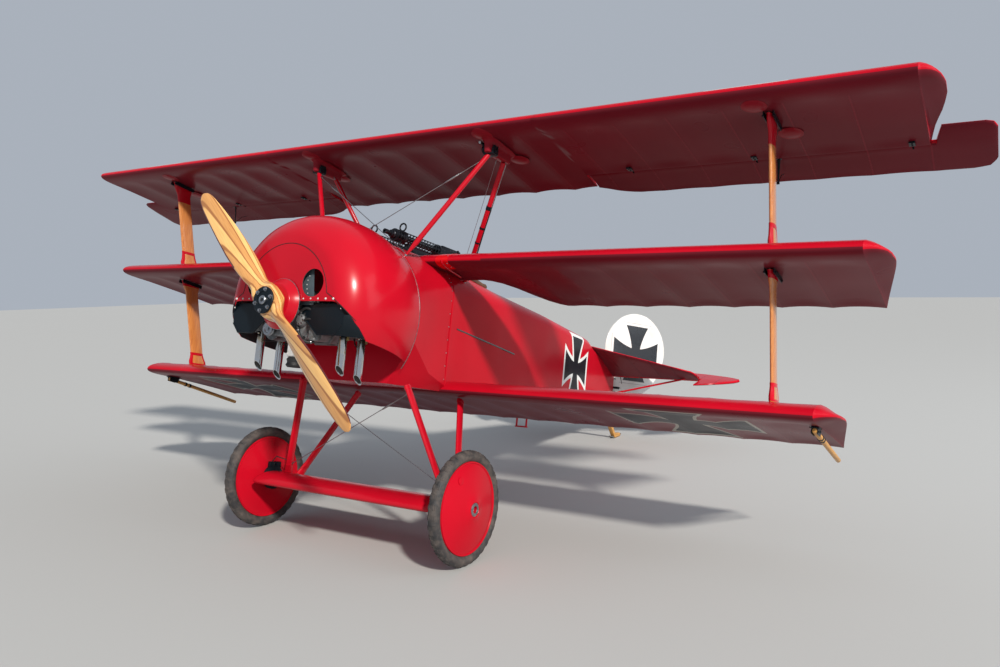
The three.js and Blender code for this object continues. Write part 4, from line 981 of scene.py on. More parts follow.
reach = [0, 0.025, 0.05, 0.07, 0.09, 0.11, 0.13, 0.15, 0.17, 0.195, 0.22, 0.26, 0.3, 0.36, 0.43, 0.5, 0.57,
    0.64, 0.71, 0.78, 0.84, 0.9, 0.94, 0.965, 0.985, 0.998, 1.006]
bm = bmesh.new()
loft(bm, [blade_ring(r) for r in both(reach)])
swing = Matrix.Rotation(PROP.turn, 4, "X")
bm.transform(swing)
maple = shade("laminated_maple", (0.62, 0.36, 0.14), 0.2, Coat_Weight=0.7, Coat_Roughness=0.06)
place = drawn(maple, parked @ swing)
wx, _, _ = split(maple, place)
BOARD = 0.0172
layer = calc(maple, "DIVIDE", calc(maple, "ADD", wx, 0.1018), BOARD)
dark_board = ramp(maple, calc(maple, "PINGPONG", layer, 1), 0.4, 0.6)
glue = ramp(maple, calc(maple, "PINGPONG", calc(maple, "ADD", layer, 0.5), 0.5), 0.06, 0.13, 1, 0)
grain_place = node(maple, "Mapping", {"Vector": place, "Scale": (14, 14, 0.9)}).outputs[0]
grain = noise(maple, grain_place, 9, 6, 0.62)
light_wood = mixed(maple, ramp(maple, grain, 0.32, 0.68), (0.9, 0.54, 0.19), (0.8, 0.42, 0.13))
deep_wood = mixed(maple, ramp(maple, grain, 0.32, 0.68), (0.56, 0.22, 0.05), (0.42, 0.15, 0.034))
timber = mixed(maple, calc(maple, "MULTIPLY", dark_board, 0.62), light_wood, deep_wood)
timber = mixed(maple, calc(maple, "MULTIPLY", glue, 0.85), timber, (0.3, 0.095, 0.018))
wire_up(maple, timber, ramp(maple, grain, 0.3, 0.7, 0.16, 0.28), grain, 0.0002)
make("propeller_blades", bm, [maple], "propeller", ["propeller"], sharp=60)
bm = bmesh.new()
for blade in (-1, 1):
    rings = []
    for i in range(30):
        ring = blade_ring(blade * (0.985 - 0.0218 * i))
        wrap = ring[12:17] if blade < 0 else ring[-2:] + ring[:3]
        middle = ring[0].lerp(ring[14], 0.5)
        rings.append([p + (p - middle).normalized() * 0.0012 for p in wrap]
            + [p - (p - middle).normalized() * 0.001 for p in reversed(wrap)])
    loft(bm, rings)
bm.transform(swing)
maroon = worn("blade_edging", (0.1, 0.012, 0.014), 0.35, (60,), dull=(0.3, 0.7, 0.28, 0.45), Coat_Weight=0.3)
make("blade_edging", bm, [maroon], "propeller")

# Hub: a black steel plate clamps the airscrew with six bolts and a centre nut, against
# a red back bowl with a bright rim.
bm = bmesh.new()
turned(bm, [(-0.0116, 0), (-0.0116, 0.08), (-0.003, 0.08), (0, 0.077), (0, 0.052), (-0.004, 0.05),
    (-0.004, 0.03), (-0.0015, 0.028), (-0.0015, 0)], steps=56)
make("hub_clamp_plate", bm, [enamel], "propeller", ["hub_plate"])
bm = bmesh.new()
for turn in turns(6, 0.3):
    at = Vector((0, 0.0635 * cos(turn), 0.0635 * sin(turn)))
    drum(bm, -0.001, 0.0012, 0.0125, at, steps=16)
    bmesh.ops.create_cone(bm, cap_ends=True, segments=6, radius1=0.0095, radius2=0.0088, depth=0.01,
        matrix=Matrix.Translation(at + Vector((0.005, 0, 0))) @ Matrix.Rotation(pi / 2, 4, "Y"))
turned(bm, [(-0.004, 0.01), (-0.004, 0.027), (0.004, 0.027), (0.007, 0.024), (0.007, 0.012)], steps=32)
make("hub_bolts", bm, [steel], "propeller")
bm = bmesh.new()
turned(bm, [(-0.1448, 0), (-0.1448, 0.15), (-0.138, 0.152), (-0.124, 0.1405), (-0.108, 0.1275),
    (-0.096, 0.1205), (-0.0905, 0.1165), (-0.09, 0.112), (-0.09, 0)], steps=72)
make("back_bowl_shell", bm, [red_metal], "propeller", ["back_bowl"], sharp=50)
bm = bmesh.new()
turned(bm, [(-0.1449, 0.148), (-0.1449, 0.1538), (-0.1395, 0.1538), (-0.1385, 0.1512)], steps=72)
make("back_bowl_rim", bm, [steel], "propeller")

# Wings: three deep planes on box spars. Plywood noses run back to a scalloped edge, the
# fabric dips between the ribs, and the wire trailing edge is drawn in by its tension.
INCIDENCE, CHORD, CAMBER, CAMBER_AT, THICKNESS = 0.14, 1, 0.05, 0.35, 0.125
WING = {
    # nose x, nose z, last rib y, tip y, bays
    "upper": (-0.88, 1.285, 3.28, 3.384, 10),
    "middle": (-1.07, 0.462, 3.046, 3.162, 10),
    "lower": (-1.283, -0.388, 2.808, 2.92, 9),
}
RIB_DIP, EDGE_SCALLOP, PLY_END, CUSP = 0.0095, 0.02, 0.125, 0.045
STRAIGHT_BOW = [
    # share of the tip's width, nose cut, tail cut, plumpness
    (0, 0, 0, 1), (0.04, 0.006, 0.025, 0.96), (0.15, 0.02, 0.095, 0.86),
    (0.3, 0.036, 0.187, 0.73), (0.5, 0.062, 0.31, 0.55), (0.7, 0.103, 0.434, 0.37),
    (0.85, 0.152, 0.53, 0.23), (0.94, 0.205, 0.593, 0.15), (1, 0.29, 0.655, 0.09),
]
HORN_BOW = [(0, 0, 0, 1), (0.04, 0.012, 0.205, 0.95), (0.25, 0.028, 0.33, 0.77), (0.5, 0.058, 0.425, 0.55),
    (0.75, 0.105, 0.515, 0.32), (0.9, 0.16, 0.59, 0.18), (1, 0.235, 0.655, 0.09)]
SIDE_STEPS, TIP_DROOP, BOW_RISE = 20, 0.38, 0.45


def half_thickness(share):
    return 5 * THICKNESS * (0.2969 * sqrt(share) - 0.126 * share - 0.3516 * share ** 2 + 0.2843 * share ** 3
        - 0.1036 * share ** 4) + 0.0025 * share


def mean_line(share):
    if share < CAMBER_AT:
        return CAMBER / CAMBER_AT ** 2 * (2 * CAMBER_AT * share - share ** 2)
    return CAMBER / (1 - CAMBER_AT) ** 2 * (1 - 2 * CAMBER_AT + 2 * CAMBER_AT * share - share ** 2)


def wing_height(wing, x, side):
    """Height of a wing's top (side 1) or underside (side -1) at a place behind its nose."""
    nose_x, nose_z = WING[wing][:2]
    share = (nose_x - x) / CHORD
    return nose_z - INCIDENCE * (nose_x - x) + mean_line(share) + side * half_thickness(share)


def round_chord(steps):
    """Shares of a chord, each with its side: over the top to the nose and back below."""
    shares = [(1 - cos(pi * k / steps)) / 2 for k in range(steps + 1)]
    return [(share, 1) for share in shares[::-1]] + [(share, -1) for share in shares[1:]]


def rib_ring(wing, y, back_limit=None):
    """One rib or bay section of a wing, from its upper tail over the nose to its lower tail."""
    nose_x, nose_z, rib_y, tip_y, bays = WING[wing]
    pitch = rib_y / bays
    out = max(0, min(1, (abs(y) - rib_y) / (tip_y - rib_y)))
    cut_front, cut_back, plump = between(HORN_BOW if wing == "upper" else STRAIGHT_BOW, out)
    level = 1 - TIP_DROOP * smooth(out, 0, 0.8)
    front = nose_x - cut_front
    back = nose_x - CHORD + cut_back
    if back_limit is not None:
        back = max(back, back_limit)
    in_bay = (abs(y) / pitch) % 1
    dip = 4 * in_bay * (1 - in_bay) if out == 0 else 0
    if back_limit is None and out == 0:
        back += EDGE_SCALLOP * dip
    ply = PLY_END + CUSP * (1 - dip ** 0.5)
    ring = []
    for share, side in round_chord(SIDE_STEPS):
        x = front - share * (front - back)
        whole = (nose_x - x) / CHORD
        full = half_thickness(whole)
        thick = full if out == 0 and back_limit is not None else min(full, half_thickness(share))
        rise = thick * side * plump + level * (mean_line(whole) + full * BOW_RISE * (1 - plump))
        sag = RIB_DIP * dip * smooth(whole, ply, ply + 0.07) * (1 - smooth(share, 0.9, 1))
        ring.append((x, y, nose_z - INCIDENCE * (nose_x - x) + rise - side * sag))
    return ring


def spans(wing, start=None, per_bay=6):
    """Span stations of half a wing from start to the tip, with every rib among them."""
    _, _, rib_y, tip_y, bays = WING[wing]
    pitch = rib_y / bays
    found = [pitch * k / per_bay for k in range(bays * per_bay + 1)]
    if start is not None:
        found = [start] + [y for y in found if y > start + 0.004]
    return found + [rib_y + (tip_y - rib_y) * t for t in (0.03, 0.15, 0.3, 0.5, 0.7, 0.85, 0.94, 1)]


def give_painted_shade_below(bm):
    """Gives the faces that look down the second material: the darker red of painted shade."""
    bmesh.ops.recalc_face_normals(bm, faces=bm.faces[:])
    bm.normal_update()
    outward = copysign(1, bm.calc_volume(signed=True))
    for face in bm.faces:
        if face.normal.z * outward < -0.35:
            face.material_index = 1


def crease(piece, y):
    """Marks a hard line round a wing at its last rib, where the tip's skin turns to the bow."""
    at_rib = [abs(abs(vert.co.y) - y) < 1e-4 for vert in piece.data.vertices]
    for edge in piece.data.edges:
        if at_rib[edge.vertices[0]] and at_rib[edge.vertices[1]]:
            edge.use_edge_sharp = True


def under_cross(made, x, y, z):
    return patee(made, calc(made, "SUBTRACT", x, -1.79), calc(made, "SUBTRACT", calc(made, "ABSOLUTE", y),
        1.95), 0.425, 0.055)


def top_cross(made, x, y, z):
    return patee(made, calc(made, "SUBTRACT", x, -1.3), calc(made, "SUBTRACT", calc(made, "ABSOLUTE", y),
        2.45), 0.36)


# Each wing's underside dope is painted shade: the same red drawn darker, the lower wing's cross on a greyed
# white field, and the rib lines drawn lighter as painted highlights where the tapes catch the light.
dopes = {}
for wing, (nose_x, nose_z, rib_y, tip_y, bays) in WING.items():
    ply = nose_x - 0.13
    over = dope(f"{wing}_wing_dope", RED, rib_y / bays, top_cross if wing == "upper" else None, ply=ply)
    under = dope(f"{wing}_wing_underside", PAINTED_SHADE_RED, rib_y / bays, under_cross if wing == "lower" else None,
        rough=0.3, lit=1.25, field=(0.36, 0.34, 0.29), ply=ply, gloss=0.3)
    dopes[wing] = [over, under]

bm = bmesh.new()
loft(bm, [rib_ring("lower", y) for y in both(spans("lower"))])
give_painted_shade_below(bm)
crease(make("lower_wing_skin", bm, dopes["lower"], replaces=["lower_wing"], sharp=50),
    WING["lower"][2])

ROOT_SWEEP = [(0, -1.445), (0.56, -1.445), (0.64, -1.49), (0.7, -1.6), (0.745, -1.76), (0.79, -1.9),
    (0.85, -2), (0.96, -2.09)]
bm = bmesh.new()
rings = []
for y in both(spans("middle")):
    limit = between(ROOT_SWEEP, abs(y))[0] if abs(y) < 0.96 else None
    rings.append(rib_ring("middle", y, limit))
loft(bm, rings)
give_painted_shade_below(bm)
crease(make("middle_wing_skin", bm, dopes["middle"], replaces=["middle_wing"], sharp=50),
    WING["middle"][2])

AILERON = Sizes(hinge_x=-1.705, inner=1.18, horn_y=3.6, horn_x=-1.545, trail_x=-1.975, nose=0.017, gap=0.013)
AILERON.hinge_z = (drawn_from @ Vector(joints["aileron_left_hinge"]["pos_m"])).z
BAY_FRONT = AILERON.hinge_x + AILERON.nose + AILERON.gap
bm = bmesh.new()
half = [y for y in spans("upper") if abs(y - AILERON.inner + AILERON.gap) > 0.012]
inner_cut = AILERON.inner - AILERON.gap
half = sorted(half + [inner_cut - 0.0005, inner_cut])
rings = [rib_ring("upper", y, BAY_FRONT if abs(y) >= inner_cut else None) for y in both(half)]
loft(bm, rings)
give_painted_shade_below(bm)
crease(make("upper_wing_skin", bm, dopes["upper"], replaces=["upper_wing"], sharp=50),
    WING["upper"][2])

# Hinge fittings and patches: black hinge brackets under the rear edge of the upper wing,
# and round doped patches over the inspection holes beside its spar fittings. The patches
# are drawn in a dark red of painted shade, like the undersides.
HINGES = (1.5, 2.32, 3.19)
bm = bmesh.new()
for side in (-1, 1):
    for y in HINGES:
        drum(bm, -0.004, 0.004, 0.01, (AILERON.hinge_x, side * y, AILERON.hinge_z), (0, 1, 0), 20)
        box(bm, (AILERON.hinge_x + 0.004, side * y - 0.004, AILERON.hinge_z - 0.006),
            (BAY_FRONT + 0.01, side * y + 0.004, AILERON.hinge_z + 0.006))
        under = wing_height("upper", BAY_FRONT + 0.03, -1)
        box(bm, (BAY_FRONT + 0.004, side * y - 0.016, under - 0.004),
            (BAY_FRONT + 0.06, side * y + 0.016, under + 0.006))
        for dx in (0.018, 0.046):
            dome(bm, (BAY_FRONT + dx, side * y, under - 0.004), (0, 0, -1), 0.006, 0.005)
make("aileron_hinges", bm, [enamel])
# Painted shade: the patch dope is the red drawn dark, for parts that sit in the shade under the upper wing.
patch_dope = dope("patch_dope", (0.24, 0.014, 0.024), rough=0.3, gloss=0.3)
bm = bmesh.new()
for x, y in ((-1.019, 2.475), (-1.374, 2.594), (-0.958, 0.758), (-1.356, 0.811)):
    for side in (-1, 1):
        rings = []
        for radius, proud in ((0.07, 0.0004), (0.068, 0.0022), (0.05, 0.0026), (0.046, 0.0044),
                (0.01, 0.0048)):
            ring = []
            for a in turns(36):
                px, py = x + radius * cos(a), side * y + radius * sin(a)
                ring.append((px, py, wing_height("upper", px, -1) - proud))
            rings.append(ring)
        loft(bm, rings)
make("inspection_patches", bm, [patch_dope])

# Ailerons: fabric over a bent tube frame, each hung on three brackets. A square horn
# reaches ahead of the hinge line outside the wing tip, and a black lever hangs below.
SLOPE, AILERON_DIP = 0.27, 0.003


def flap_reach(y):
    """The front and back edges of an aileron at a span station."""
    front = between([(1.18, -1.688), (3.304, -1.688), (3.338, -1.545), (3.545, -1.545), (3.583, -1.561),
        (3.6, -1.6)], y)[0]
    back = between([(1.18, -1.875), (1.245, -1.9), (1.33, -1.94), (1.44, -1.975), (3.49, -1.975),
        (3.562, -1.955), (3.594, -1.9), (3.6, -1.88)], y)[0]
    return front, back


def edged(front, back, steps, half_at):
    """A closed outline of (x, up) pairs with rounded edges, over the top and back below."""
    found = []
    for share, side in round_chord(steps):
        x = front + (back - front) * share
        lip = min(1, sqrt(max(0, 1 - (1 - min(1, (front - x) / 0.016)) ** 2)) + 0.02)
        tail = min(1, sqrt(max(0, 1 - (1 - min(1, (x - back) / 0.004)) ** 2)) + 0.05)
        found.append((x, side * half_at(x) * lip * tail))
    return found


def flap_half(x):
    return between([(-1.975, 0.003), (-1.705, 0.017), (-1.595, 0.014), (-1.545, 0.006)], x)[0]


flap_y = [1.18, 1.19]
while flap_y[-1] < 3.24:
    flap_y.append(flap_y[-1] + 0.0547)
flap_y = flap_y[:-1] + [3.28, 3.3, 3.304, 3.306, 3.31, 3.322, 3.338, 3.4, 3.48, 3.52, 3.545, 3.562, 3.575,
    3.583, 3.592, 3.597, 3.6]
for name, side in (("left", 1), ("right", -1)):
    bm = bmesh.new()
    rings = []
    for y in flap_y:
        front, back = flap_reach(y)
        bay = (y / 0.328) % 1
        dip = 4 * bay * (1 - bay) if y < 3.28 else 0
        lean = 1 if y < 3.56 else max(0.3, sqrt(max(0, 1 - ((y - 3.56) / 0.042) ** 2)))
        ring = []
        for x, up in edged(front, back + 0.007 * dip, 16, flap_half):
            sag = AILERON_DIP * dip * smooth(AILERON.hinge_x - x, 0, 0.06) * smooth(x - back, 0, 0.05)
            up = copysign(max(0.0008, abs(up) * lean - sag), up)
            ring.append((x, side * y, AILERON.hinge_z - SLOPE * (AILERON.hinge_x - x) + up))
        rings.append(ring)
    loft(bm, rings if side > 0 else rings[::-1])
    give_painted_shade_below(bm)
    flap = make(f"aileron_{name}_skin", bm, dopes["upper"], f"aileron_{name}",
        [f"aileron_{name}"])
    for y in HINGES:
        bm = bmesh.new()
        drum(bm, -0.005, 0.005, 0.027, (AILERON.hinge_x, side * y, AILERON.hinge_z), (0, 1, 0), 20)
        carve(flap, bm, enamel)
    bm = bmesh.new()
    y, top = side * 2.45, AILERON.hinge_z - 0.014
    pipe(bm, [(-1.712, y, top), (-1.722, y, top - 0.06), (-1.728, y, top - 0.15)], [0.016, 0.011, 0.007], 12,
        flat=0.45)
    pipe(bm, [(-1.728, y - 0.008, top - 0.145), (-1.728, y + 0.008, top - 0.145)], 0.008, 10)
    pipe(bm, [(-1.73, y, top - 0.143), (-1.8, y, top - 0.072), (-1.86, y, top - 0.046)], 0.0022, 6)
    box(bm, (-1.745, y - 0.02, top - 0.004), (-1.69, y + 0.02, top + 0.004))
    make(f"aileron_{name}_lever", bm, [enamel], f"aileron_{name}")

# Interplane struts: one hollow varnished spruce strut a side, in two lengths. Its ends
# flare out into red cuffs with black plate fittings, bound in doped tape below.
spruce = shade("varnished_spruce", (0.55, 0.23, 0.07), 0.24, Coat_Weight=0.6, Coat_Roughness=0.08)
place = drawn(spruce)
grain = noise(spruce, node(spruce, "Mapping", {"Vector": place, "Scale": (22, 22, 1.1)}).outputs[0], 5, 6,
    0.6)
streak = noise(spruce, node(spruce, "Mapping", {"Vector": place, "Scale": (60, 60, 1.4)}).outputs[0], 6, 3)
tone = mixed(spruce, ramp(spruce, grain, 0.3, 0.7), (0.66, 0.27, 0.075), (0.44, 0.14, 0.035))
wire_up(spruce, mixed(spruce, ramp(spruce, streak, 0.6, 0.75, 0, 0.6), tone, (0.28, 0.085, 0.022)),
    ramp(spruce, grain, 0.3, 0.7, 0.18, 0.32), grain, 0.0003)
STRUT_Y, STRUT_CHORD, STRUT_THICK = 2.534, 0.13, 0.032


def strut_x(z):
    return -1.593 + 0.403 * (z + 0.3196) / 1.548


def post_ring(z, side, flare, grow=0, level=None, fat=None):
    """A streamlined section of a strut; level sets the ring's own height at each x."""
    chord, thick = STRUT_CHORD * flare, STRUT_THICK * (fat or flare)
    ring = []
    for a in turns(32):
        c = cos(a)
        x = strut_x(z) + (chord / 2 + grow) * c
        y = side * STRUT_Y + (thick / 2 + grow) * sin(a) * (0.86 + 0.22 * c)
        ring.append((x, y, z if level is None else level(x)))
    return ring


def reach_of(height, length):
    """Flare of a strut's end, as a share of its chord, at a height above or below it."""
    return 1 + 0.35 * (1 - smooth(height, 0.25 * length, length))


for name, side in (("left", 1), ("right", -1)):
    for part, low_wing, high_wing in (("lower", "lower", "middle"), ("upper", "middle", "upper")):
        low_z = wing_height(low_wing, strut_x(WING[low_wing][1]), 1)
        high_z = wing_height(high_wing, strut_x(WING[high_wing][1]), -1)
        bm, tape_bm, cuff_bm, plate_bm = bmesh.new(), bmesh.new(), bmesh.new(), bmesh.new()
        foot = lambda x: wing_height(low_wing, x, 1) - 0.001
        head = lambda x: wing_height(high_wing, x, -1) + 0.001
        levels = [0, 0.012, 0.025, 0.04, 0.055, 0.07, 0.09, 0.12]
        inner = [low_z + v for v in levels[1:]] + [high_z - v for v in reversed(levels[1:])]
        rings = [post_ring(low_z, side, 1.35, level=foot)]
        for z in inner:
            flare = max(reach_of(z - low_z, 0.1), reach_of(high_z - z, 0.1))
            rings.append(post_ring(z, side, flare))
        rings.append(post_ring(high_z, side, 1.35, level=head))
        loft(bm, rings)
        make(f"strut_{name}_{part}_post", bm, [spruce], replaces=[f"strut_{name}_{part}"])
        # doped tape at the foot, with its raised laps
        tape_top = low_z + (0.135 if part == "upper" else 0.115)
        rows = [post_ring(low_z, side, 1.35, 0.0012, lambda x: foot(x) + 0.003)]
        flare = reach_of(0.022, 0.1)
        rows.append(post_ring(low_z + 0.022, side, flare, 0.0012))
        loft(tape_bm, rows)
        z, flare = tape_top - 0.012, reach_of(tape_top - 0.012 - low_z, 0.1)
        loft(tape_bm, [post_ring(z + dz, side, flare, grow) for dz,
            grow in ((-0.012, 0), (-0.011, 0.0026), (0.011, 0.0026), (0.012, 0))])
        for k in (-4, 0, 12, 16):
            strip = []
            for z in (low_z + 0.012, low_z + 0.04, low_z + 0.07, tape_top - 0.02):
                flare = reach_of(z - low_z, 0.1)
                ring = post_ring(z, side, flare, 0.0022)
                core = post_ring(z, side, flare, -0.001)
                lap = [(k + step) % 32 for step in range(5)]
                strip.append([ring[i] for i in lap] + [core[i] for i in reversed(lap)])
            loft(tape_bm, strip)
        cuff_low = high_z - (0.15 if part == "upper" else 0.04)
        rows = [post_ring(cuff_low, side, reach_of(high_z - cuff_low, 0.1), 0.0012)]
        for z in [high_z - v for v in reversed(levels[1:])]:
            if z > cuff_low + 0.004:
                flare = reach_of(high_z - z, 0.1)
                rows.append(post_ring(z, side, flare, 0.0012))
        rows.append(post_ring(high_z, side, 1.4, 0.002, lambda x: head(x) - 0.004, 1.6))
        loft(cuff_bm, rows)
        make(f"strut_{name}_{part}_tape", tape_bm, [red_metal])
        make(f"strut_{name}_{part}_cuff", cuff_bm, [red_metal])
        x_mid = strut_x(high_z)
        slope_of = (head(x_mid + 0.09) - head(x_mid - 0.09)) / 0.18
        tilt = Matrix.Translation((x_mid, side * STRUT_Y, high_z - 0.006)) @ Matrix.Rotation(-atan(slope_of),
            4, "Y")
        for dy in (-0.026, 0.026):
            new = box(plate_bm, (-0.1, dy - 0.0025, -0.022), (0.1, dy + 0.0025, 0.008))
            bmesh.ops.transform(plate_bm, matrix=tilt, verts=new)
            for dx in (-0.082, 0.082):
                at = tilt @ Vector((dx, dy + copysign(0.0025, dy), -0.012))
                dome(plate_bm, at, (0, copysign(1, dy), 0), 0.0085, 0.008, 6)
        make(f"strut_{name}_{part}_plates", plate_bm, [enamel])

# Cabane: two steel tubes a side lean out from the deck to a long faired fitting under the
# spar. Each tube ends in a pointed eye below, each front one in a black fork above, and
# bands on the left rear one hold a hose and a pipe.
CABANE = Sizes(y=0.765, top=1.157, radius=0.017, point=0.11)
CABANE_LEGS = {
    # deck end, place of the fork
    "front": ((-0.806, 0.33, 0.4), (-1.062, 1.168)),
    "rear": ((-1.5, 0.352, 0.38), (-1.236, 1.168)),
}
CABANE_FAIRING = Sizes(middle=-1.15, half_long=0.14, half_wide=0.03, foot=1.158)
tubes, forks, bands, eyes = bmesh.new(), bmesh.new(), bmesh.new(), bmesh.new()
fork_lug = [(-0.02, -0.016), (0.02, -0.016), (0.026, 0.006), (0.026, 0.04), (-0.026, 0.04), (-0.026, 0.006)]
for side in (-1, 1):
    for which, ((x, y, z), (top_x, top_z)) in CABANE_LEGS.items():
        low, high = Vector((x, y * side, z)), Vector((top_x, CABANE.y * side, top_z))
        deck = low.copy()
        while deck.z < deck_height(deck.x, min(abs(deck.y), between(FRAMES, deck.x)[0] * 0.999)) - 0.004:
            deck = deck.lerp(high, 0.005)
        top = low.lerp(high, (CABANE.top - low.z) / (high.z - low.z))
        long = (top - deck).length
        cone = CABANE.point / long if which == "front" else 0.02
        r = CABANE.radius
        pipe(tubes, [deck, deck.lerp(top, cone * 0.12), deck.lerp(top, cone * 0.9), deck.lerp(top, cone),
            deck.lerp(top, 0.985), deck.lerp(top, 0.997), top],
            [0.005, 0.006, r * 0.96, r, r, r * 0.9, r * 0.7], 32)
        pipe(eyes, [deck.lerp(top, -0.01), deck.lerp(top, 0.012)], 0.0095, 12)
        if which == "front":
            lug = box(forks, (top_x - 0.044, side * CABANE.y - 0.0375, 1.148),
                (top_x + 0.026, side * CABANE.y + 0.0375, 1.2))
            rounded(forks, 0.01, lug)
        for dy in (-0.039, 0.039) if which == "front" else ():
            at = (top_x, side * CABANE.y + dy, top_z)
            known = set(forks.verts)
            prism(forks, fork_lug, dy - 0.0025, dy + 0.0025, "Y")
            bmesh.ops.translate(forks, verts=[v for v in forks.verts if v not in known],
                vec=(top_x, side * CABANE.y, top_z))
            dome(forks, (at[0], at[1] + copysign(0.0025, dy), at[2]), (0, copysign(1, dy), 0), 0.011, 0.011,
                6)
        if which == "rear" and side > 0:
            outboard = Vector((-0.53, 0.848, 0))
            for share, long_band in ((0.08, 0.008), (0.13, 0.008), (0.22, 0.01), (0.34, 0.012),
                    (0.46, 0.016), (0.62, 0.03)):
                pipe(bands, [deck.lerp(top, share), deck.lerp(top, share + long_band)], r + 0.002, 24)
            hose = [deck.lerp(top, s) + outboard * (r + 0.0045 + 0.002 * sin(9 * s))
                for s in (0.02 + 0.06 * i for i in range(11))]
            pipe(bands, hose, 0.0042, 8)
            pipe(eyes, [deck.lerp(top, s) + outboard * (r + 0.004) for s in (0.62, 0.75, 0.88, 0.985)],
                0.003, 8)
make("cabane_tubes", tubes, [red_metal], replaces=["cabane_left_front", "cabane_left_rear",
    "cabane_right_front", "cabane_right_rear"])
make("cabane_forks", forks, [enamel])
make("cabane_bands", bands, [enamel])
make("cabane_eyes", eyes, [steel])
# The fairings are drawn in the dark red of painted shade, as they sit in the upper wing's shadow.
bm = bmesh.new()
for side in (-1, 1):
    rings = []
    for rise, grow in ((0, -0.008), (0.04, -0.002), (0.12, 0), (0.55, 0.002), (0.82, 0.007), (0.94, 0.018),
            (1, 0.034)):
        ring = []
        for a in turns(48):
            x = CABANE_FAIRING.middle + (CABANE_FAIRING.half_long + grow) * copysign(abs(cos(a)) ** 0.55,
                cos(a))
            y = side * CABANE.y + (CABANE_FAIRING.half_wide + grow) * copysign(abs(sin(a)) ** 0.55, sin(a))
            top = wing_height("upper", x, -1) - 0.0008
            ring.append((x, y, CABANE_FAIRING.foot + (top - CABANE_FAIRING.foot) * rise))
        rings.append(ring)
    loft(bm, rings)
make("cabane_fairings", bm, [patch_dope], replaces=["cabane_fitting_left",
    "cabane_fitting_right"])
bm, knob = bmesh.new(), bmesh.new()
arm = [(-1.062, 0.724, 1.196), (-1.046, 0.716, 1.218), (-1.028, 0.714, 1.226), (-1.01, 0.717, 1.223)]
pipe(bm, arm, [0.014, 0.011, 0.009, 0.008], 12)
pipe(bm, [(-1.062, 0.735, 1.15), (-1.062, 0.722, 1.18), (-1.062, 0.72, 1.222)], [0.012, 0.02, 0.014], 14)
drum(bm, -0.012, 0.012, 0.026, (-1.062, 0.722, 1.19), (0, 1, 0), 24)
pipe(knob, [arm[3], (-1, 0.716, 1.219)], 0.0095, 12)
dome(knob, (-1.062, 0.71, 1.19), (0, -1, 0), 0.011, 0.005, 6)
for i in range(9):
    dome(knob, (-1.085 - 0.004 * i, 0.8, 1.176 + 0.008 * i), (0.3, 1, 0), 0.0028, 0.003, 6)
make("cabane_lever", bm, [enamel])
make("cabane_lever_knob", knob, [steel])

# Bracing cables: stranded steel, crossed between the cabane struts and between the
# undercarriage legs, each drawn up by a turnbuckle near one end.
strand = shade("stranded_cable", (0.3, 0.31, 0.32), 0.36, Metallic=1)
place = drawn(strand)
lay_of = node(strand, "TexWave", {"Vector": place, "Scale": 90, "Distortion": 0, "Detail": 0},
    bands_direction="DIAGONAL").outputs["Fac"]
wire_up(strand, mixed(strand, lay_of, (0.16, 0.165, 0.17), (0.42, 0.43, 0.44)), height=lay_of, depth=0.0006)


def cable(bm, low, high, radius=0.0026, buckle=0.85):
    """A cable with thimbles at both ends and a turnbuckle at a share of its length."""
    low, high = Vector(low), Vector(high)
    long = (high - low).length
    pipe(bm, [low.lerp(high, i / 12) for i in range(13)], radius, 8)
    for share in (0.02, 0.98):
        pipe(bm, [low.lerp(high, share - 0.012), low.lerp(high, share + 0.012)], radius * 1.9, 8)
    if buckle:
        half = 0.055 / long
        pipe(bm, [low.lerp(high, buckle + half * t) for t in (-1.6, -1, -0.9, -0.5, 0, 0.5, 0.9, 1, 1.6)],
            [0.003, 0.003, 0.0055, 0.0062, 0.007, 0.0062, 0.0055, 0.003, 0.003], 10)


bm = bmesh.new()
for side, shift in ((1, 0.005), (-1, -0.005)):
    cable(bm, (-0.808 + shift, 0.352 * side, 0.455), (-1.049 + shift, -0.735 * side, 1.128), buckle=0.8)
    cable(bm, (-1.47, 0.33 * side, 0.42), (-1.19, 0.735 * side, 1.165), 0.0016, None)
make("cabane_cables", bm, [strand], replaces=["cabane_cable_1", "cabane_cable_2"])
bm = bmesh.new()
for side, shift in ((1, 0.005), (-1, -0.005)):
    cable(bm, (-0.9 + shift, 0.436 * side, -0.445), (-1.04 + shift, -0.668 * side, -1.008), buckle=0.16)
make("gear_cables", bm, [strand], replaces=["gear_cable_1", "gear_cable_2"])

# Undercarriage: two streamlined tube legs a side, welded in a V to a box round the axle,
# which a small aerofoil fairing of red-painted plywood covers.
LEGS = {"front": ((-0.815, 0.405, -0.27), (-1.05, 0.7, -1.09)),
    "rear": ((-1.48, 0.43, -0.36), (-1.165, 0.7, -1.09))}
AXLE = Sizes(x=-1.005, z=-1.112, radius=0.022)
FAIRING = Sizes(nose=-0.775, chord=0.52, half=0.772, thick=0.17)
LEG_CHORD, LEG_THICK = 0.062, 0.03


def leg_ring(at, fore, across, swell=1, grow=0):
    """A streamlined section of a leg, blunt at the front."""
    half_chord, half_thick = LEG_CHORD / 2 * swell + grow, LEG_THICK / 2 * swell + grow
    return [at + fore * (half_chord * cos(a)) + across * (half_thick * sin(a) * (0.9 + 0.16 * cos(a)))
        for a in turns(28)]


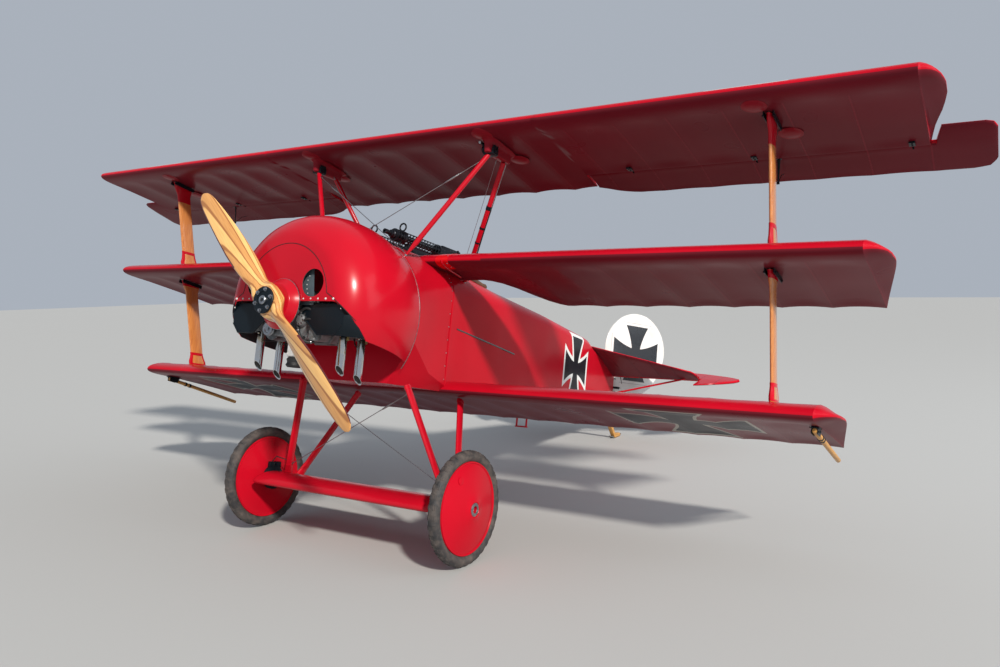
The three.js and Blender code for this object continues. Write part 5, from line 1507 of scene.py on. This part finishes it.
bm, collars = bmesh.new(), bmesh.new()
for side in (-1, 1):
    for which, (top, foot) in LEGS.items():
        top = Vector((top[0], side * top[1], top[2]))
        foot = Vector((foot[0], side * foot[1], foot[2]))
        along = (foot - top).normalized()
        fore = (Vector((1, 0, 0)) - along * along.x).normalized()
        across = along.cross(fore)
        rings = []
        start = 0.15 if which == "front" else 0.115
        for share in (start, 0.3, 0.6, 0.9, 0.955, 0.975, 0.993):
            swell = 1 + 0.3 * smooth(share, 0.9, 0.99)
            at = top.lerp(foot, share)
            rings.append(leg_ring(at, fore, across, swell))
        loft(bm, rings)
        for share, grow in ((start + 0.02, 0.0035), (0.9, 0.0028)):
            rows = []
            for t, g in ((-0.012, 0), (-0.01, grow), (0.01, grow), (0.012, 0)):
                at = top.lerp(foot, share + t)
                rows.append(leg_ring(at, fore, across, grow=g))
            loft(collars, rows)
make("gear_legs", bm, [red_metal], replaces=["gear_leg_left_front", "gear_leg_left_rear",
    "gear_leg_right_front", "gear_leg_right_rear"])
make("gear_leg_collars", collars, [red_metal])
bm = bmesh.new()


def fairing_ring(y):
    edge = (FAIRING.half - abs(y)) / 0.055
    plump = sqrt(max(0, 1 - (1 - min(1, edge)) ** 2))
    inset = 0.03 * (1 - plump)
    ring = []
    for share, face in round_chord(22):
        x = FAIRING.nose - inset - share * (FAIRING.chord - 2 * inset)
        thick = half_thickness(share) * FAIRING.thick / THICKNESS
        up = mean_line(share) - 0.045 + face * thick * max(0.12, plump)
        ring.append((x, y, AXLE.z + up * FAIRING.chord + 0.006))
    return ring


half = [0.772, 0.7705, 0.767, 0.76, 0.75, 0.738, 0.725, 0.6, 0.4, 0.2, 0]
loft(bm, [fairing_ring(-y) for y in half] + [fairing_ring(y) for y in reversed(half[:-1])])
make("axle_fairing_shell", bm, [red_metal], replaces=["axle_fairing"], sharp=50)
bm = bmesh.new()
for side in (-1, 1):
    pipe(bm, [(AXLE.x, side * 0.74, AXLE.z), (AXLE.x, side * 0.925, AXLE.z)], AXLE.radius, 24)
    turned(bm, [(0.925, 0), (0.925, 0.0215), (0.921, 0.022), (0.921, 0)], (AXLE.x, 0, AXLE.z), (0, side, 0),
        24)
    bmesh.ops.create_cone(bm, cap_ends=True, segments=6, radius1=0.012, radius2=0.011, depth=0.01,
        matrix=Matrix.Translation((AXLE.x, side * 0.9285, AXLE.z)) @ Matrix.Rotation(pi / 2, 4, "X"))
pipe(bm, [(AXLE.x, -0.745, AXLE.z), (AXLE.x, 0.745, AXLE.z)], AXLE.radius, 24)
make("axle_tube", bm, [steel], replaces=["axle"])

# Brakes: modern drums inboard of the wheels, with a cast backplate, a bolted caliper and
# a hose that runs up the leg.
bm, lines = bmesh.new(), bmesh.new()
for side in (-1, 1):
    turned(bm, [(0.782, 0.0225), (0.782, 0.078), (0.786, 0.084), (0.794, 0.084), (0.796, 0.08), (0.8, 0.08),
        (0.802, 0.084), (0.812, 0.084), (0.816, 0.08), (0.816, 0.0225)], (AXLE.x, 0, AXLE.z), (0, side, 0),
        48)
    for k in range(6):
        a = 2 * pi * k / 6 + 0.3
        dome(bm, (AXLE.x + 0.055 * cos(a), side * 0.782, AXLE.z + 0.055 * sin(a)), (0, -side, 0), 0.008,
            0.007, 6)
    for dx, dz in ((0.03, 0.085), (-0.03, 0.085)):
        new = box(bm, (AXLE.x + dx - 0.024, side * 0.796 - 0.013, AXLE.z + dz - 0.02),
            (AXLE.x + dx + 0.024, side * 0.796 + 0.013, AXLE.z + dz + 0.026))
        rounded(bm, 0.006, new, 2)
    hose = [(AXLE.x + 0.03, side * 0.79, AXLE.z + 0.112), (AXLE.x + 0.02, side * 0.765, AXLE.z + 0.15),
        (-1.045, side * 0.68, -0.985), (-0.985, side * 0.6, -0.8), (-0.908, side * 0.503, -0.545)]
    pipe(lines, hose, 0.0042, 8)
make("brake_drums", bm, [enamel], replaces=["brake_drum_left", "brake_drum_right"])
make("brake_hoses", lines, [rubber])

# Wheels: treaded tyres on spoked rims, which red doped covers close on both sides. The
# outer cover is a shallow cone with a valve flap, held at the hub by a cap and bolts.
tyre = shade("tyre_rubber", (0.035, 0.033, 0.034), 0.75)
place = drawn(tyre)
dust = ramp(tyre, noise(tyre, place, 16, 5, 0.65), 0.4, 0.68)
wire_up(tyre, mixed(tyre, dust, (0.026, 0.025, 0.027), (0.105, 0.085, 0.075)),
    ramp(tyre, dust, 0, 1, 0.62, 0.9), noise(tyre, place, 260, 3), 0.0006)
WHEEL = Sizes(y=0.873, radius=0.355, half=0.038, rim=0.287, cone=0.072)
TREAD_STEPS, TREAD_FROM = 72, 0.335
for name, side in (("left", 1), ("right", -1)):
    centre, out = (AXLE.x, side * WHEEL.y, AXLE.z), (0, side, 0)
    body = f"wheel_{name}"
    bm = bmesh.new()
    angles = [-30, -12, 6, 24, 40, 56, 72, 90, 108, 124, 140, 156, 174, 192, 210]
    crown = WHEEL.half - 0.0045
    profile = [(0.022, WHEEL.rim), (-0.022, WHEEL.rim)]
    for angle in angles[::-1]:
        a = radians(angle)
        profile.append((WHEEL.half * cos(a) * (1 if 6 > angle or angle > 174 else 0.985), WHEEL.radius
            - WHEEL.half + crown * sin(a)))
    turned(bm, profile, centre, out, TREAD_STEPS)
    bm.faces.ensure_lookup_table()
    knobs = []
    for face in bm.faces:
        at = face.calc_center_median() - Vector(centre)
        radius = hypot(at.x, at.z)
        if radius < TREAD_FROM:
            continue
        column = round(at.y / 0.0105)
        slot_at = int((atan2(at.z, at.x) % (2 * pi)) / (2 * pi) * TREAD_STEPS)
        if (slot_at + column) % 2 == 0:
            knobs.append(face)
    bmesh.ops.inset_individual(bm, faces=knobs, thickness=0.0016, depth=0)
    for face in knobs:
        for vert in face.verts:
            away = Vector((vert.co.x - centre[0], 0, vert.co.z - centre[2]))
            vert.co += (away.normalized() * 0.8 + Vector((0, (vert.co.y - centre[1]) * 10, 0))) * 0.0042
    make(f"tyre_{name}_tread", bm, [tyre], body, [f"tyre_{name}"], sharp=28)
    bm = bmesh.new()
    turned(bm, [(0.0222, WHEEL.rim - 0.0005), (0.03, WHEEL.rim - 0.003), (0.0305, WHEEL.rim - 0.01),
        (0.026, WHEEL.rim - 0.014), (0.04, 0.22), (0.052, 0.16), (0.0625, 0.105), (WHEEL.cone, 0.058),
        (WHEEL.cone + 0.004, 0.05), (WHEEL.cone + 0.004, 0.046), (WHEEL.cone, 0.043), (WHEEL.cone, 0.0226),
        (-0.048, 0.0226), (-0.048, 0.095), (-0.04, 0.15), (-0.026, WHEEL.rim - 0.014),
        (-0.0295, WHEEL.rim - 0.01), (-0.029, WHEEL.rim - 0.003), (-0.0222, WHEEL.rim - 0.0005)], centre,
        out, 96)
    wheel_red = dope(f"wheel_{name}_dope", RED, rough=0.2)
    make(f"wheel_cover_{name}_cone", bm, [wheel_red], body, [f"wheel_cover_{name}"], sharp=40)
    bm = bmesh.new()
    turned(bm, [(WHEEL.cone - 0.001, 0.0228), (WHEEL.cone - 0.001, 0.041), (WHEEL.cone + 0.003, 0.041),
        (WHEEL.cone + 0.005, 0.037), (WHEEL.cone + 0.005, 0.0228)], centre, out, 36)
    for a in turns(6):
        dome(bm, (centre[0] + 0.0325 * cos(a), side * (WHEEL.y + WHEEL.cone + 0.0045), centre[2] + 0.0325
            * sin(a)), out, 0.005, 0.004, 6)
    make(f"wheel_{name}_cap", bm, [steel], body)
    bm = bmesh.new()
    flap_turn, flap_out = 0.9, 0.215
    lean = Vector((0.12 * cos(flap_turn), side, 0.12 * sin(flap_turn))).normalized()
    turned(bm, [(-0.002, 0), (-0.002, 0.024), (0.0012, 0.024), (0.0022, 0.022), (0.0022, 0)],
        (centre[0] + flap_out * cos(flap_turn), side * (WHEEL.y + 0.0412), centre[2] + flap_out
        * sin(flap_turn)), lean, 32)
    make(f"wheel_{name}_valve_flap", bm, [wheel_red], body)

# Tailplane: a triangular fabric surface on a bent steel tube, clipped down to the rear
# deck, with two hinge lugs a side for the elevator.
TAIL = Sizes(root_x=-4.18, root_z=0.272, hinge_x=-4.935, hinge_z=0.05, back=-4.908, tip=0.985)


def tail_height(x):
    slope = (TAIL.root_z - TAIL.hinge_z) / (TAIL.root_x - TAIL.hinge_x)
    return TAIL.hinge_z + slope * (x - TAIL.hinge_x)


def plate_ring(y, front, back, half_at, dip=0, steps=14):
    ring = []
    for x, up in edged(front, back, steps, half_at):
        sag = dip * smooth(front - x, 0.01, 0.05) * smooth(x - back, 0.01, 0.05)
        up = copysign(max(0.0006, abs(up) - sag), up)
        ring.append((x, y, tail_height(x) + up))
    return ring


TAIL_RIB = 0.197
bm = bmesh.new()
half = [i * TAIL_RIB / 4 for i in range(20)] + [0.95, 0.962, 0.974, 0.981, 0.985]
rings = []
for y in both(half):
    front = between([(0, -4.18), (0.09, -4.18), (0.95, -4.724), (0.974, -4.764), (0.985, -4.82)], abs(y))[0]
    bay = (abs(y) / TAIL_RIB) % 1
    dip = 0.0022 * 4 * bay * (1 - bay) if abs(y) < 0.95 else 0
    rings.append(plate_ring(y, front, TAIL.back, lambda x: min(0.015, 0.0095 + 0.15
        * max(0, front - x - 0.01)), dip))
loft(bm, rings)
give_painted_shade_below(bm)
tail_dope = dope("tail_dope", RED, TAIL_RIB)
# The underside dope is painted shade: the same red drawn darker.
tail_painted_shade = dope("tail_underside", PAINTED_SHADE_RED, TAIL_RIB, rough=0.3, gloss=0.3)
make("tailplane_skin", bm, [tail_dope, tail_painted_shade], replaces=["tailplane"], sharp=50)
bm = bmesh.new()
for y in (-0.7, -0.33, 0.33, 0.7):
    drum(bm, -0.004, 0.004, 0.009, (TAIL.hinge_x, y, TAIL.hinge_z), (0, 1, 0), 20)
    box(bm, (TAIL.hinge_x + 0.003, y - 0.004, TAIL.hinge_z - 0.006),
        (TAIL.back + 0.008, y + 0.004, TAIL.hinge_z + 0.006))
for side in (-1, 1):
    for x in (-4.23, -4.86):
        z = tail_height(x) + 0.0155
        box(bm, (x - 0.012, side * 0.05 - 0.03, z - 0.002), (x + 0.012, side * 0.05 + 0.03, z + 0.002))
        for dy in (-0.018, 0.018):
            dome(bm, (x, side * 0.05 + dy, z + 0.002), (0, 0, 1), 0.006, 0.005, 6)
make("tailplane_clips", bm, [enamel])

# Elevator: one surface right across, welded up from tube, with comma-shaped balance
# horns beyond the tailplane. It stands trailing edge up, as the parked stick holds it.
turn_up = (Matrix.Translation((TAIL.hinge_x, 0, TAIL.hinge_z)) @ Matrix.Rotation(radians(32), 4, "Y")
    @ Matrix.Translation((-TAIL.hinge_x, 0, -TAIL.hinge_z)))
elevator_dope = dope("elevator_dope", RED, TAIL_RIB, turn=parked @ turn_up)
# The underside dope is painted shade: the same red drawn darker.
elevator_painted_shade = dope("elevator_underside", PAINTED_SHADE_RED, TAIL_RIB, turn=parked @ turn_up, rough=0.3, gloss=0.3)
FRONT_EDGE = [(0.062, -4.92), (1, -4.92), (1.003, -4.672), (1.03, -4.676), (1.135, -4.735), (1.24, -4.815),
    (1.33, -4.905), (1.372, -4.985)]
BACK_EDGE = [(0.062, -4.965), (0.13, -5.13), (0.215, -5.3), (0.6, -5.3), (0.78, -5.28), (0.96, -5.235),
    (1.12, -5.175), (1.26, -5.105), (1.35, -5.04), (1.372, -4.988)]


def elevator_half(x):
    return between([(-5.3, 0.003), (-4.935, 0.015), (-4.8, 0.011), (-4.66, 0.006)], x)[0]


bm = bmesh.new()
for side in (-1, 1):
    rings = []
    ys = [0.062, 0.1, 0.16, 0.215] + [0.26 + 0.0493 * i for i in range(15)] + [0.985, 0.998, 1, 1.003, 1.015,
        1.03, 1.08, 1.135, 1.19, 1.24, 1.29, 1.33, 1.35, 1.362, 1.372]
    for y in ys:
        bay = (y / TAIL_RIB) % 1
        dip = 0.0018 * 4 * bay * (1 - bay) if 0.2 < y < 0.98 else 0
        rings.append(plate_ring(side * y, between(FRONT_EDGE, y)[0], between(BACK_EDGE, y)[0], elevator_half,
            dip))
    loft(bm, rings if side > 0 else rings[::-1])
give_painted_shade_below(bm)
pipe(bm, [(TAIL.hinge_x, -0.08, TAIL.hinge_z), (TAIL.hinge_x, 0.08, TAIL.hinge_z)], 0.012, 20)
bm.transform(turn_up)
elevator = make("elevator_skin", bm, [elevator_dope, elevator_painted_shade], "elevator", ["elevator"],
    sharp=50)
for y in (-0.7, -0.33, 0.33, 0.7):
    bm = bmesh.new()
    drum(bm, -0.005, 0.005, 0.0265, (TAIL.hinge_x, y, TAIL.hinge_z), (0, 1, 0), 20)
    carve(elevator, bm, enamel)
bm = bmesh.new()
for side in (-1, 1):
    y = side * 0.1
    pipe(bm, [(TAIL.hinge_x - 0.012, y, TAIL.hinge_z + 0.1), (TAIL.hinge_x - 0.012, y, TAIL.hinge_z),
        (TAIL.hinge_x - 0.012, y, TAIL.hinge_z - 0.1)], [0.005, 0.012, 0.005], 10, flat=0.4)
bm.transform(turn_up)
make("elevator_levers", bm, [enamel], "elevator")

# Rudder: a nearly round white surface on the stern post, with a black cross on each side
# and a grey pencil line round it. It stands turned, trailing edge to port.
RUDDER = Sizes(hinge_x=-5, x=-5.262, z=0.365, radius=0.405)
turn_rudder = (Matrix.Translation((RUDDER.hinge_x, 0, 0)) @ Matrix.Rotation(radians(-30), 4, "Z")
    @ Matrix.Translation((-RUDDER.hinge_x, 0, 0)))
WHITE = (0.76, 0.76, 0.74)
linen = shade("rudder_dope", WHITE, 0.3, Coat_Weight=0.35, Coat_Roughness=0.12)
place = drawn(linen, parked @ turn_rudder)
rudder_x, _, rudder_z = split(linen, place)
u = calc(linen, "SUBTRACT", rudder_x, RUDDER.x)
v = calc(linen, "SUBTRACT", rudder_z, 0.325)
CROSS_HALF = 0.305
black, white = patee(linen, u, v, CROSS_HALF)
_, wider = patee(linen, u, v, CROSS_HALF * 1.018)
pencil = calc(linen, "SUBTRACT", wider, white)
grime = ramp(linen, noise(linen, place, 5, 4), 0.42, 0.75)
tone = mixed(linen, grime, WHITE, (0.6, 0.6, 0.56))
tone = mixed(linen, calc(linen, "MULTIPLY", pencil, 0.6), tone, (0.2, 0.22, 0.25))
weave = noise(linen, place, 420, 1)
wire_up(linen, mixed(linen, black, tone, (0.012, 0.014, 0.018)), ramp(linen, grime, 0, 1, 0.26, 0.4), weave,
    0.0003)
levels = [-0.19, -0.182, -0.172, -0.146, -0.12, -0.075, -0.03, 0.032, 0.095, 0.15, 0.188, 0.196, 0.204,
    0.222, 0.27, 0.33, 0.385, 0.44, 0.5, 0.56, 0.61, 0.66, 0.7, 0.73, 0.75, 0.762, 0.768, 0.77]
FOOT_BACK = [(-0.19, -5.1), (-0.172, -5.22), (-0.12, -5.38), (-0.03, -5.5), (0.095, -5.59), (0.222, -5.641)]
bm = bmesh.new()
rings = []
for z in levels:
    away = sqrt(max(0, RUDDER.radius ** 2 - (z - RUDDER.z) ** 2))
    front = -4.983 if z < 0.2 else max(RUDDER.x + away, RUDDER.x + 0.004)
    back = between(FOOT_BACK, z)[0] if z < 0.222 else min(RUDDER.x - away, RUDDER.x - 0.004)
    bay = ((z + 0.19) / 0.24) % 1
    dip = 0.0016 * 4 * bay * (1 - bay)
    half_at = lambda x: between([(-5.66, 0.003), (-5, 0.017), (-4.92, 0.012), (-4.86, 0.005)], x)[0]
    ring = []
    for x, across in edged(front, back, 16, half_at):
        sag = dip * smooth(front - x, 0.01, 0.08) * smooth(x - back, 0.01, 0.08)
        top_in = 0.25 + 0.75 * smooth(0.77 - z, 0, 0.02)
        across = copysign(max(0.0006, abs(across) * top_in - sag), across)
        ring.append((x, across, z))
    rings.append(ring)
loft(bm, rings)
bm.transform(turn_rudder)
rudder = make("rudder_skin", bm, [linen], "rudder", ["rudder"], sharp=50)
for z in (-0.12, 0.02):
    bm = bmesh.new()
    drum(bm, -0.005, 0.005, 0.0265, (RUDDER.hinge_x, 0, z), (0, 0, 1), 20)
    carve(rudder, bm, enamel)
bm = bmesh.new()
for z in (0.11, -0.075):
    pipe(bm, [(-5.035, -0.085, z), (-5.035, -0.02, z), (-5.035, 0.02, z), (-5.035, 0.085, z)],
        [0.005, 0.011, 0.011, 0.005], 10, flat=0.4)
    box(bm, (-5.07, -0.0185, z - 0.012), (-4.986, 0.0185, z + 0.012))
bm.transform(turn_rudder)
make("rudder_levers", bm, [enamel], "rudder")
bm = bmesh.new()
for z in (-0.12, 0.02):
    drum(bm, -0.004, 0.004, 0.009, (RUDDER.hinge_x, 0, z), (0, 0, 1), 20)
    box(bm, (RUDDER.hinge_x + 0.003, -0.006, z - 0.004), (-4.95, 0.006, z + 0.004))
make("rudder_hinges", bm, [enamel])

# Tail struts and skid: a slim tube braces each half of the tailplane from the stern. The
# ash skid is held to its post by two steel cross pins, and shod with steel.
bm = bmesh.new()
for side in (-1, 1):
    low, high = Vector((-4.74, side * 0.038, -0.175)), Vector((-4.885, side * 0.85, tail_height(-4.885)
        - 0.012))
    pipe(bm, [low, low.lerp(high, 0.03), low.lerp(high, 0.06), low.lerp(high, 0.94), low.lerp(high, 0.97),
        high], [0.006, 0.008, 0.0095, 0.0095, 0.008, 0.005], 16)
make("tail_struts", bm, [red_metal], replaces=["tail_strut_left", "tail_strut_right"])
ash = worn("oiled_ash", (0.52, 0.3, 0.12), 0.45, (6, 5, 0.6), ((0.66, 0.35, 0.095), (0.46, 0.21, 0.05)),
    (0.32, 0.68), (0.3, 0.7, 0.36, 0.55), 0.0005, stretch=(1.4, 26, 26))
sine, cosine = ahead.z, ahead.x


def ground(x):
    """Height of the floor in the flight axes under a place on the hull."""
    return -(shaft["pos_m"][2] + sine * x) / cosine


SKID_X = -5.17
bm = bmesh.new()
prism(bm, [(-4.68, -0.188), (-4.75, -0.184), (SKID_X + 0.06, ground(SKID_X + 0.06) + 0.052),
    (SKID_X - 0.06, ground(SKID_X - 0.06) + 0.04), (SKID_X - 0.09, ground(SKID_X - 0.09) + 0.012),
    (SKID_X - 0.062, ground(SKID_X - 0.062) + 0.003), (SKID_X + 0.06, ground(SKID_X + 0.06) + 0.003),
    (-4.78, -0.29), (-4.69, -0.268)], -0.023, 0.023, "Y")
rounded(bm, 0.005)
make("tail_skid_ash", bm, [ash], replaces=["tail_skid"])
bm = bmesh.new()
shoe = [(SKID_X - 0.093, ground(SKID_X - 0.093) + 0.022), (SKID_X - 0.066, ground(SKID_X - 0.066)),
    (SKID_X + 0.075, ground(SKID_X + 0.075)), (SKID_X + 0.12, ground(SKID_X + 0.12) + 0.03)]
prism(bm, shoe + [(x, z + 0.004) for x, z in reversed(shoe)], -0.025, 0.025, "Y")
rounded(bm, 0.001, segments=1)
for x in (-4.7, -4.735):
    drum(bm, -0.03, 0.03, 0.013, (x, 0, -0.225), (0, 1, 0), 20)
make("tail_skid_shoe", bm, [steel])

# Guns: twin machine guns side by side on the deck. The pierced barrel jackets end in a
# flash cone, and a ring sight stands on each.
GUN = Sizes(y=0.128, z=0.618, jacket=0.042, jacket_end=-1.44, breech=-1.76)
gunmetal = worn("blued_gunmetal", (0.03, 0.033, 0.042), 0.36, (50, 5, 0.65),
    ((0.022, 0.024, 0.03), (0.12, 0.125, 0.135)), (0.58, 0.72), (0.3, 0.72, 0.28, 0.5), 0.0003,
    Metallic=0.75)
HOLES_LONG, HOLES_ROUND, HOLE_REACH = 15, 8, 0.0148
bm = bmesh.new()
for side in (-1, 1):
    grid = bmesh.ops.create_grid(bm, x_segments=HOLES_LONG, y_segments=HOLES_ROUND, size=1)["verts"]
    long, girth = -0.945 - GUN.jacket_end, 2 * pi * GUN.jacket
    for i, vert in enumerate(grid):
        row, column = divmod(i, HOLES_LONG + 1)
        vert.co = Vector((column / HOLES_LONG * long, row / HOLES_ROUND * girth, 0))
    bmesh.ops.bisect_edges(bm, edges=linked(grid, "link_edges"), cuts=1)
    cells = [face for face in bm.faces if len(face.verts) == 8]
    middles = bmesh.ops.poke(bm, faces=cells)["verts"]
    made = bmesh.ops.bevel(bm, geom=middles, offset=HOLE_REACH, affect="VERTICES", segments=1, profile=0.5,
        material=-1)
    bmesh.ops.delete(bm, geom=made["faces"], context="FACES")
    new = [v for v in bm.verts if abs(v.co.z) < 1e-6]
    for vert in new:
        turn = 2 * pi * vert.co.y / girth
        x = -0.945 - vert.co.x
        vert.co = Vector((x, side * GUN.y + GUN.jacket * cos(turn), GUN.z + GUN.jacket * sin(turn)))
    bmesh.ops.remove_doubles(bm, verts=new, dist=1e-5)
bmesh.ops.recalc_face_normals(bm, faces=bm.faces[:])
bmesh.ops.solidify(bm, geom=bm.faces[:], thickness=0.0012)
make("gun_jackets", bm, [gunmetal], replaces=["gun_left", "gun_right"], sharp=45)
bm = bmesh.new()
for side in (-1, 1):
    y = side * GUN.y
    spot = (0, y, GUN.z)
    turned(bm, [(-0.88, 0.008), (-0.845, 0.0085), (-0.845, 0.0165), (-0.875, 0.0165), (-0.877, 0.015),
        (-0.905, 0.015), (-0.908, 0.024), (-0.922, 0.0245), (-0.926, 0.0285), (-0.944, 0.029),
        (-0.946, 0.0425), (-0.952, 0.042), (-0.952, 0.008)], spot, steps=32)
    drum(bm, -0.9, -1.44, 0.0095, spot, steps=20)
    turned(bm, [(-1.02, 0.02), (-1.02, 0.044), (-1.046, 0.044), (-1.046, 0.02)], spot, steps=32)
    drum(bm, -1.428, -1.446, 0.0445, spot, steps=32)
    case = box(bm, (GUN.jacket_end - 0.004, y - 0.03, GUN.z - 0.06), (GUN.breech, y + 0.03, GUN.z + 0.036))
    lid = box(bm, (-1.47, y - 0.026, GUN.z + 0.03), (-1.7, y + 0.026, GUN.z + 0.046))
    for part in (case, lid):
        rounded(bm, 0.005, part, 2)
    ring = [(-1.032, y + 0.026 * cos(a), GUN.z + 0.07 + 0.026 * sin(a)) for a in turns(28)]
    pipe(bm, ring, 0.0058, 10, closed=True)
    pipe(bm, [(-1.032, y, GUN.z + 0.036), (-1.032, y, GUN.z + 0.045)], [0.01, 0.005], 12)
    pipe(bm, [(-1.012, y, GUN.z - 0.036), (-1.012, y, GUN.z - 0.06)], 0.01, 12)
    for x in (-1.105, -1.55):
        box(bm, (x - 0.015, y - 0.014, GUN.z - 0.1), (x + 0.015, y + 0.014, GUN.z - 0.03))
    pipe(bm, [(-1.66, y + side * 0.03, GUN.z + 0.01), (-1.66, y + side * 0.055, GUN.z + 0.01),
        (-1.61, y + side * 0.062, GUN.z + 0.03)], [0.009, 0.008, 0.01], 12)
    for dx in (-1.5, -1.56, -1.62, -1.68, -1.73):
        dome(bm, (dx, y + side * 0.03, GUN.z - 0.035), (0, side, 0), 0.005, 0.004, 6)
make("gun_receivers", bm, [gunmetal])

# Root fillets: bright red panels wrap the middle wing's leading edge where it enters the
# hull, screwed down along their outer seam, with a piped seam where they meet the hull.
ROOT_PANEL = Sizes(outer=0.5, wrap=0.11, proud=0.0022)
bm, screws = bmesh.new(), bmesh.new()
root_red = dope("root_panel_dope", (0.66, 0.008, 0.014), rough=0.18)
for side in (-1, 1):
    rings = []
    for y in [0.4 + (ROOT_PANEL.outer - 0.4) * i / 6 for i in range(7)]:
        over = [share * ROOT_PANEL.wrap for share in (1, 0.8, 0.6, 0.42, 0.26, 0.13, 0.05, 0.012, 0)]
        nose_x, nose_z = WING["middle"][:2]
        outline = [(share, 1) for share in over] + [(share, -1) for share in reversed(over[:-1])]
        skin, core = [], []
        for share, face in outline:
            x = nose_x - share * CHORD
            middle = Vector((nose_x - 0.07, side * y, wing_height("middle", nose_x - 0.07, 1) - 0.055))
            point = Vector((x, side * y, wing_height("middle", x, face)))
            out = (point - middle).normalized()
            skin.append(point + out * ROOT_PANEL.proud)
            core.append(point - out * 0.002)
        rings.append(skin + core[::-1])
    loft(bm, rings)
    for share, face in ((0.07, 1), (0.02, 1), (0.02, -1), (0.07, -1)):
        x = nose_x - share * CHORD
        point = Vector((x, side * (ROOT_PANEL.outer - 0.012), wing_height("middle", x, face)))
        dome(screws, point + Vector((0.002, 0, face * 0.002)), (0.5, 0, face), 0.0048)
make("root_panels", bm, [root_red], sharp=30)
make("root_panel_screws", screws, [steel])
bm = bmesh.new()
for side in (-1, 1):
    path = []
    for i in range(19):
        x = WING["middle"][0] - 0.3 * (1 - i / 18) ** 2 * CHORD
        path.append((x, side * (between(FRAMES, x)[0] + 0.004), wing_height("middle", x, -1) - 0.002))
    pipe(bm, path, 0.007, 8)
make("root_seams", bm, [red_metal])

# Wing skids: a round ash bar under each lower tip, held by its front end in a black steel
# bracket that is bolted through the last ribs, with a strap round it.
SKID = Sizes(y=2.78, front=-1.5, back=-2.28, end=-0.611, radius=0.015, bracket=0.08)
bm, brackets = bmesh.new(), bmesh.new()
for side in (-1, 1):
    under = wing_height("lower", SKID.front, -1)
    low, high = Vector((SKID.back, side * SKID.y, SKID.end)), Vector((SKID.front, side * SKID.y, under
        - 0.02))
    r = SKID.radius
    pipe(bm, [low, low.lerp(high, 0.006), low.lerp(high, 0.3), low.lerp(high, 0.7), low.lerp(high, 0.994),
        high], [r * 0.8, r, r * 1.02, r * 1.04, r, r * 0.8], 24)
    back = SKID.front - SKID.bracket
    for dy in (-0.0165, 0.0165):
        y = side * SKID.y + dy
        plate = [(SKID.front, under - 0.04), (SKID.front + 0.004, under),
            (back - 0.02, wing_height("lower", back, -1)), (back, under - 0.052)]
        prism(brackets, plate, y - 0.0015, y + 0.0015, "Y")
        for x in (SKID.front - 0.02, back + 0.016):
            dome(brackets, (x, y, under - 0.026), (0, copysign(1, dy), 0), 0.008, 0.007, 6)
    box(brackets, (back - 0.03, side * SKID.y - 0.026, under - 0.008),
        (SKID.front + 0.012, side * SKID.y + 0.026, under - 0.001))
    for share in (0.7, 0.76):
        pipe(brackets, [low.lerp(high, share), low.lerp(high, share + 0.02)], r + 0.0035, 20)
make("wing_skids", bm, [ash], replaces=["wing_skid_left", "wing_skid_right"])
make("wing_skid_brackets", brackets, [enamel])

# Step: a red stirrup of bent tube below the left side, with a ribbed tread plate.
STEP = Sizes(x=-2.69, y=0.238, top=-0.35, drop=-0.585, half=0.046)
bm = bmesh.new()
for side in (-1, 1):
    leg_y = STEP.y + side * STEP.half
    pipe(bm, [(STEP.x, leg_y, STEP.top), (STEP.x, leg_y, -0.5), (STEP.x, leg_y, STEP.drop)], 0.008, 16)
tread = box(bm, (STEP.x - 0.018, STEP.y - STEP.half - 0.008, STEP.drop - 0.008),
    (STEP.x + 0.018, STEP.y + STEP.half + 0.008, STEP.drop + 0.002))
rounded(bm, 0.003, tread, 2)
for i in range(7):
    y = STEP.y - 0.039 + 0.013 * i
    box(bm, (STEP.x - 0.014, y - 0.002, STEP.drop + 0.001), (STEP.x + 0.014, y + 0.002, STEP.drop + 0.0045))
make("step_stirrup", bm, [red_metal], replaces=["step"])

low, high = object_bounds()
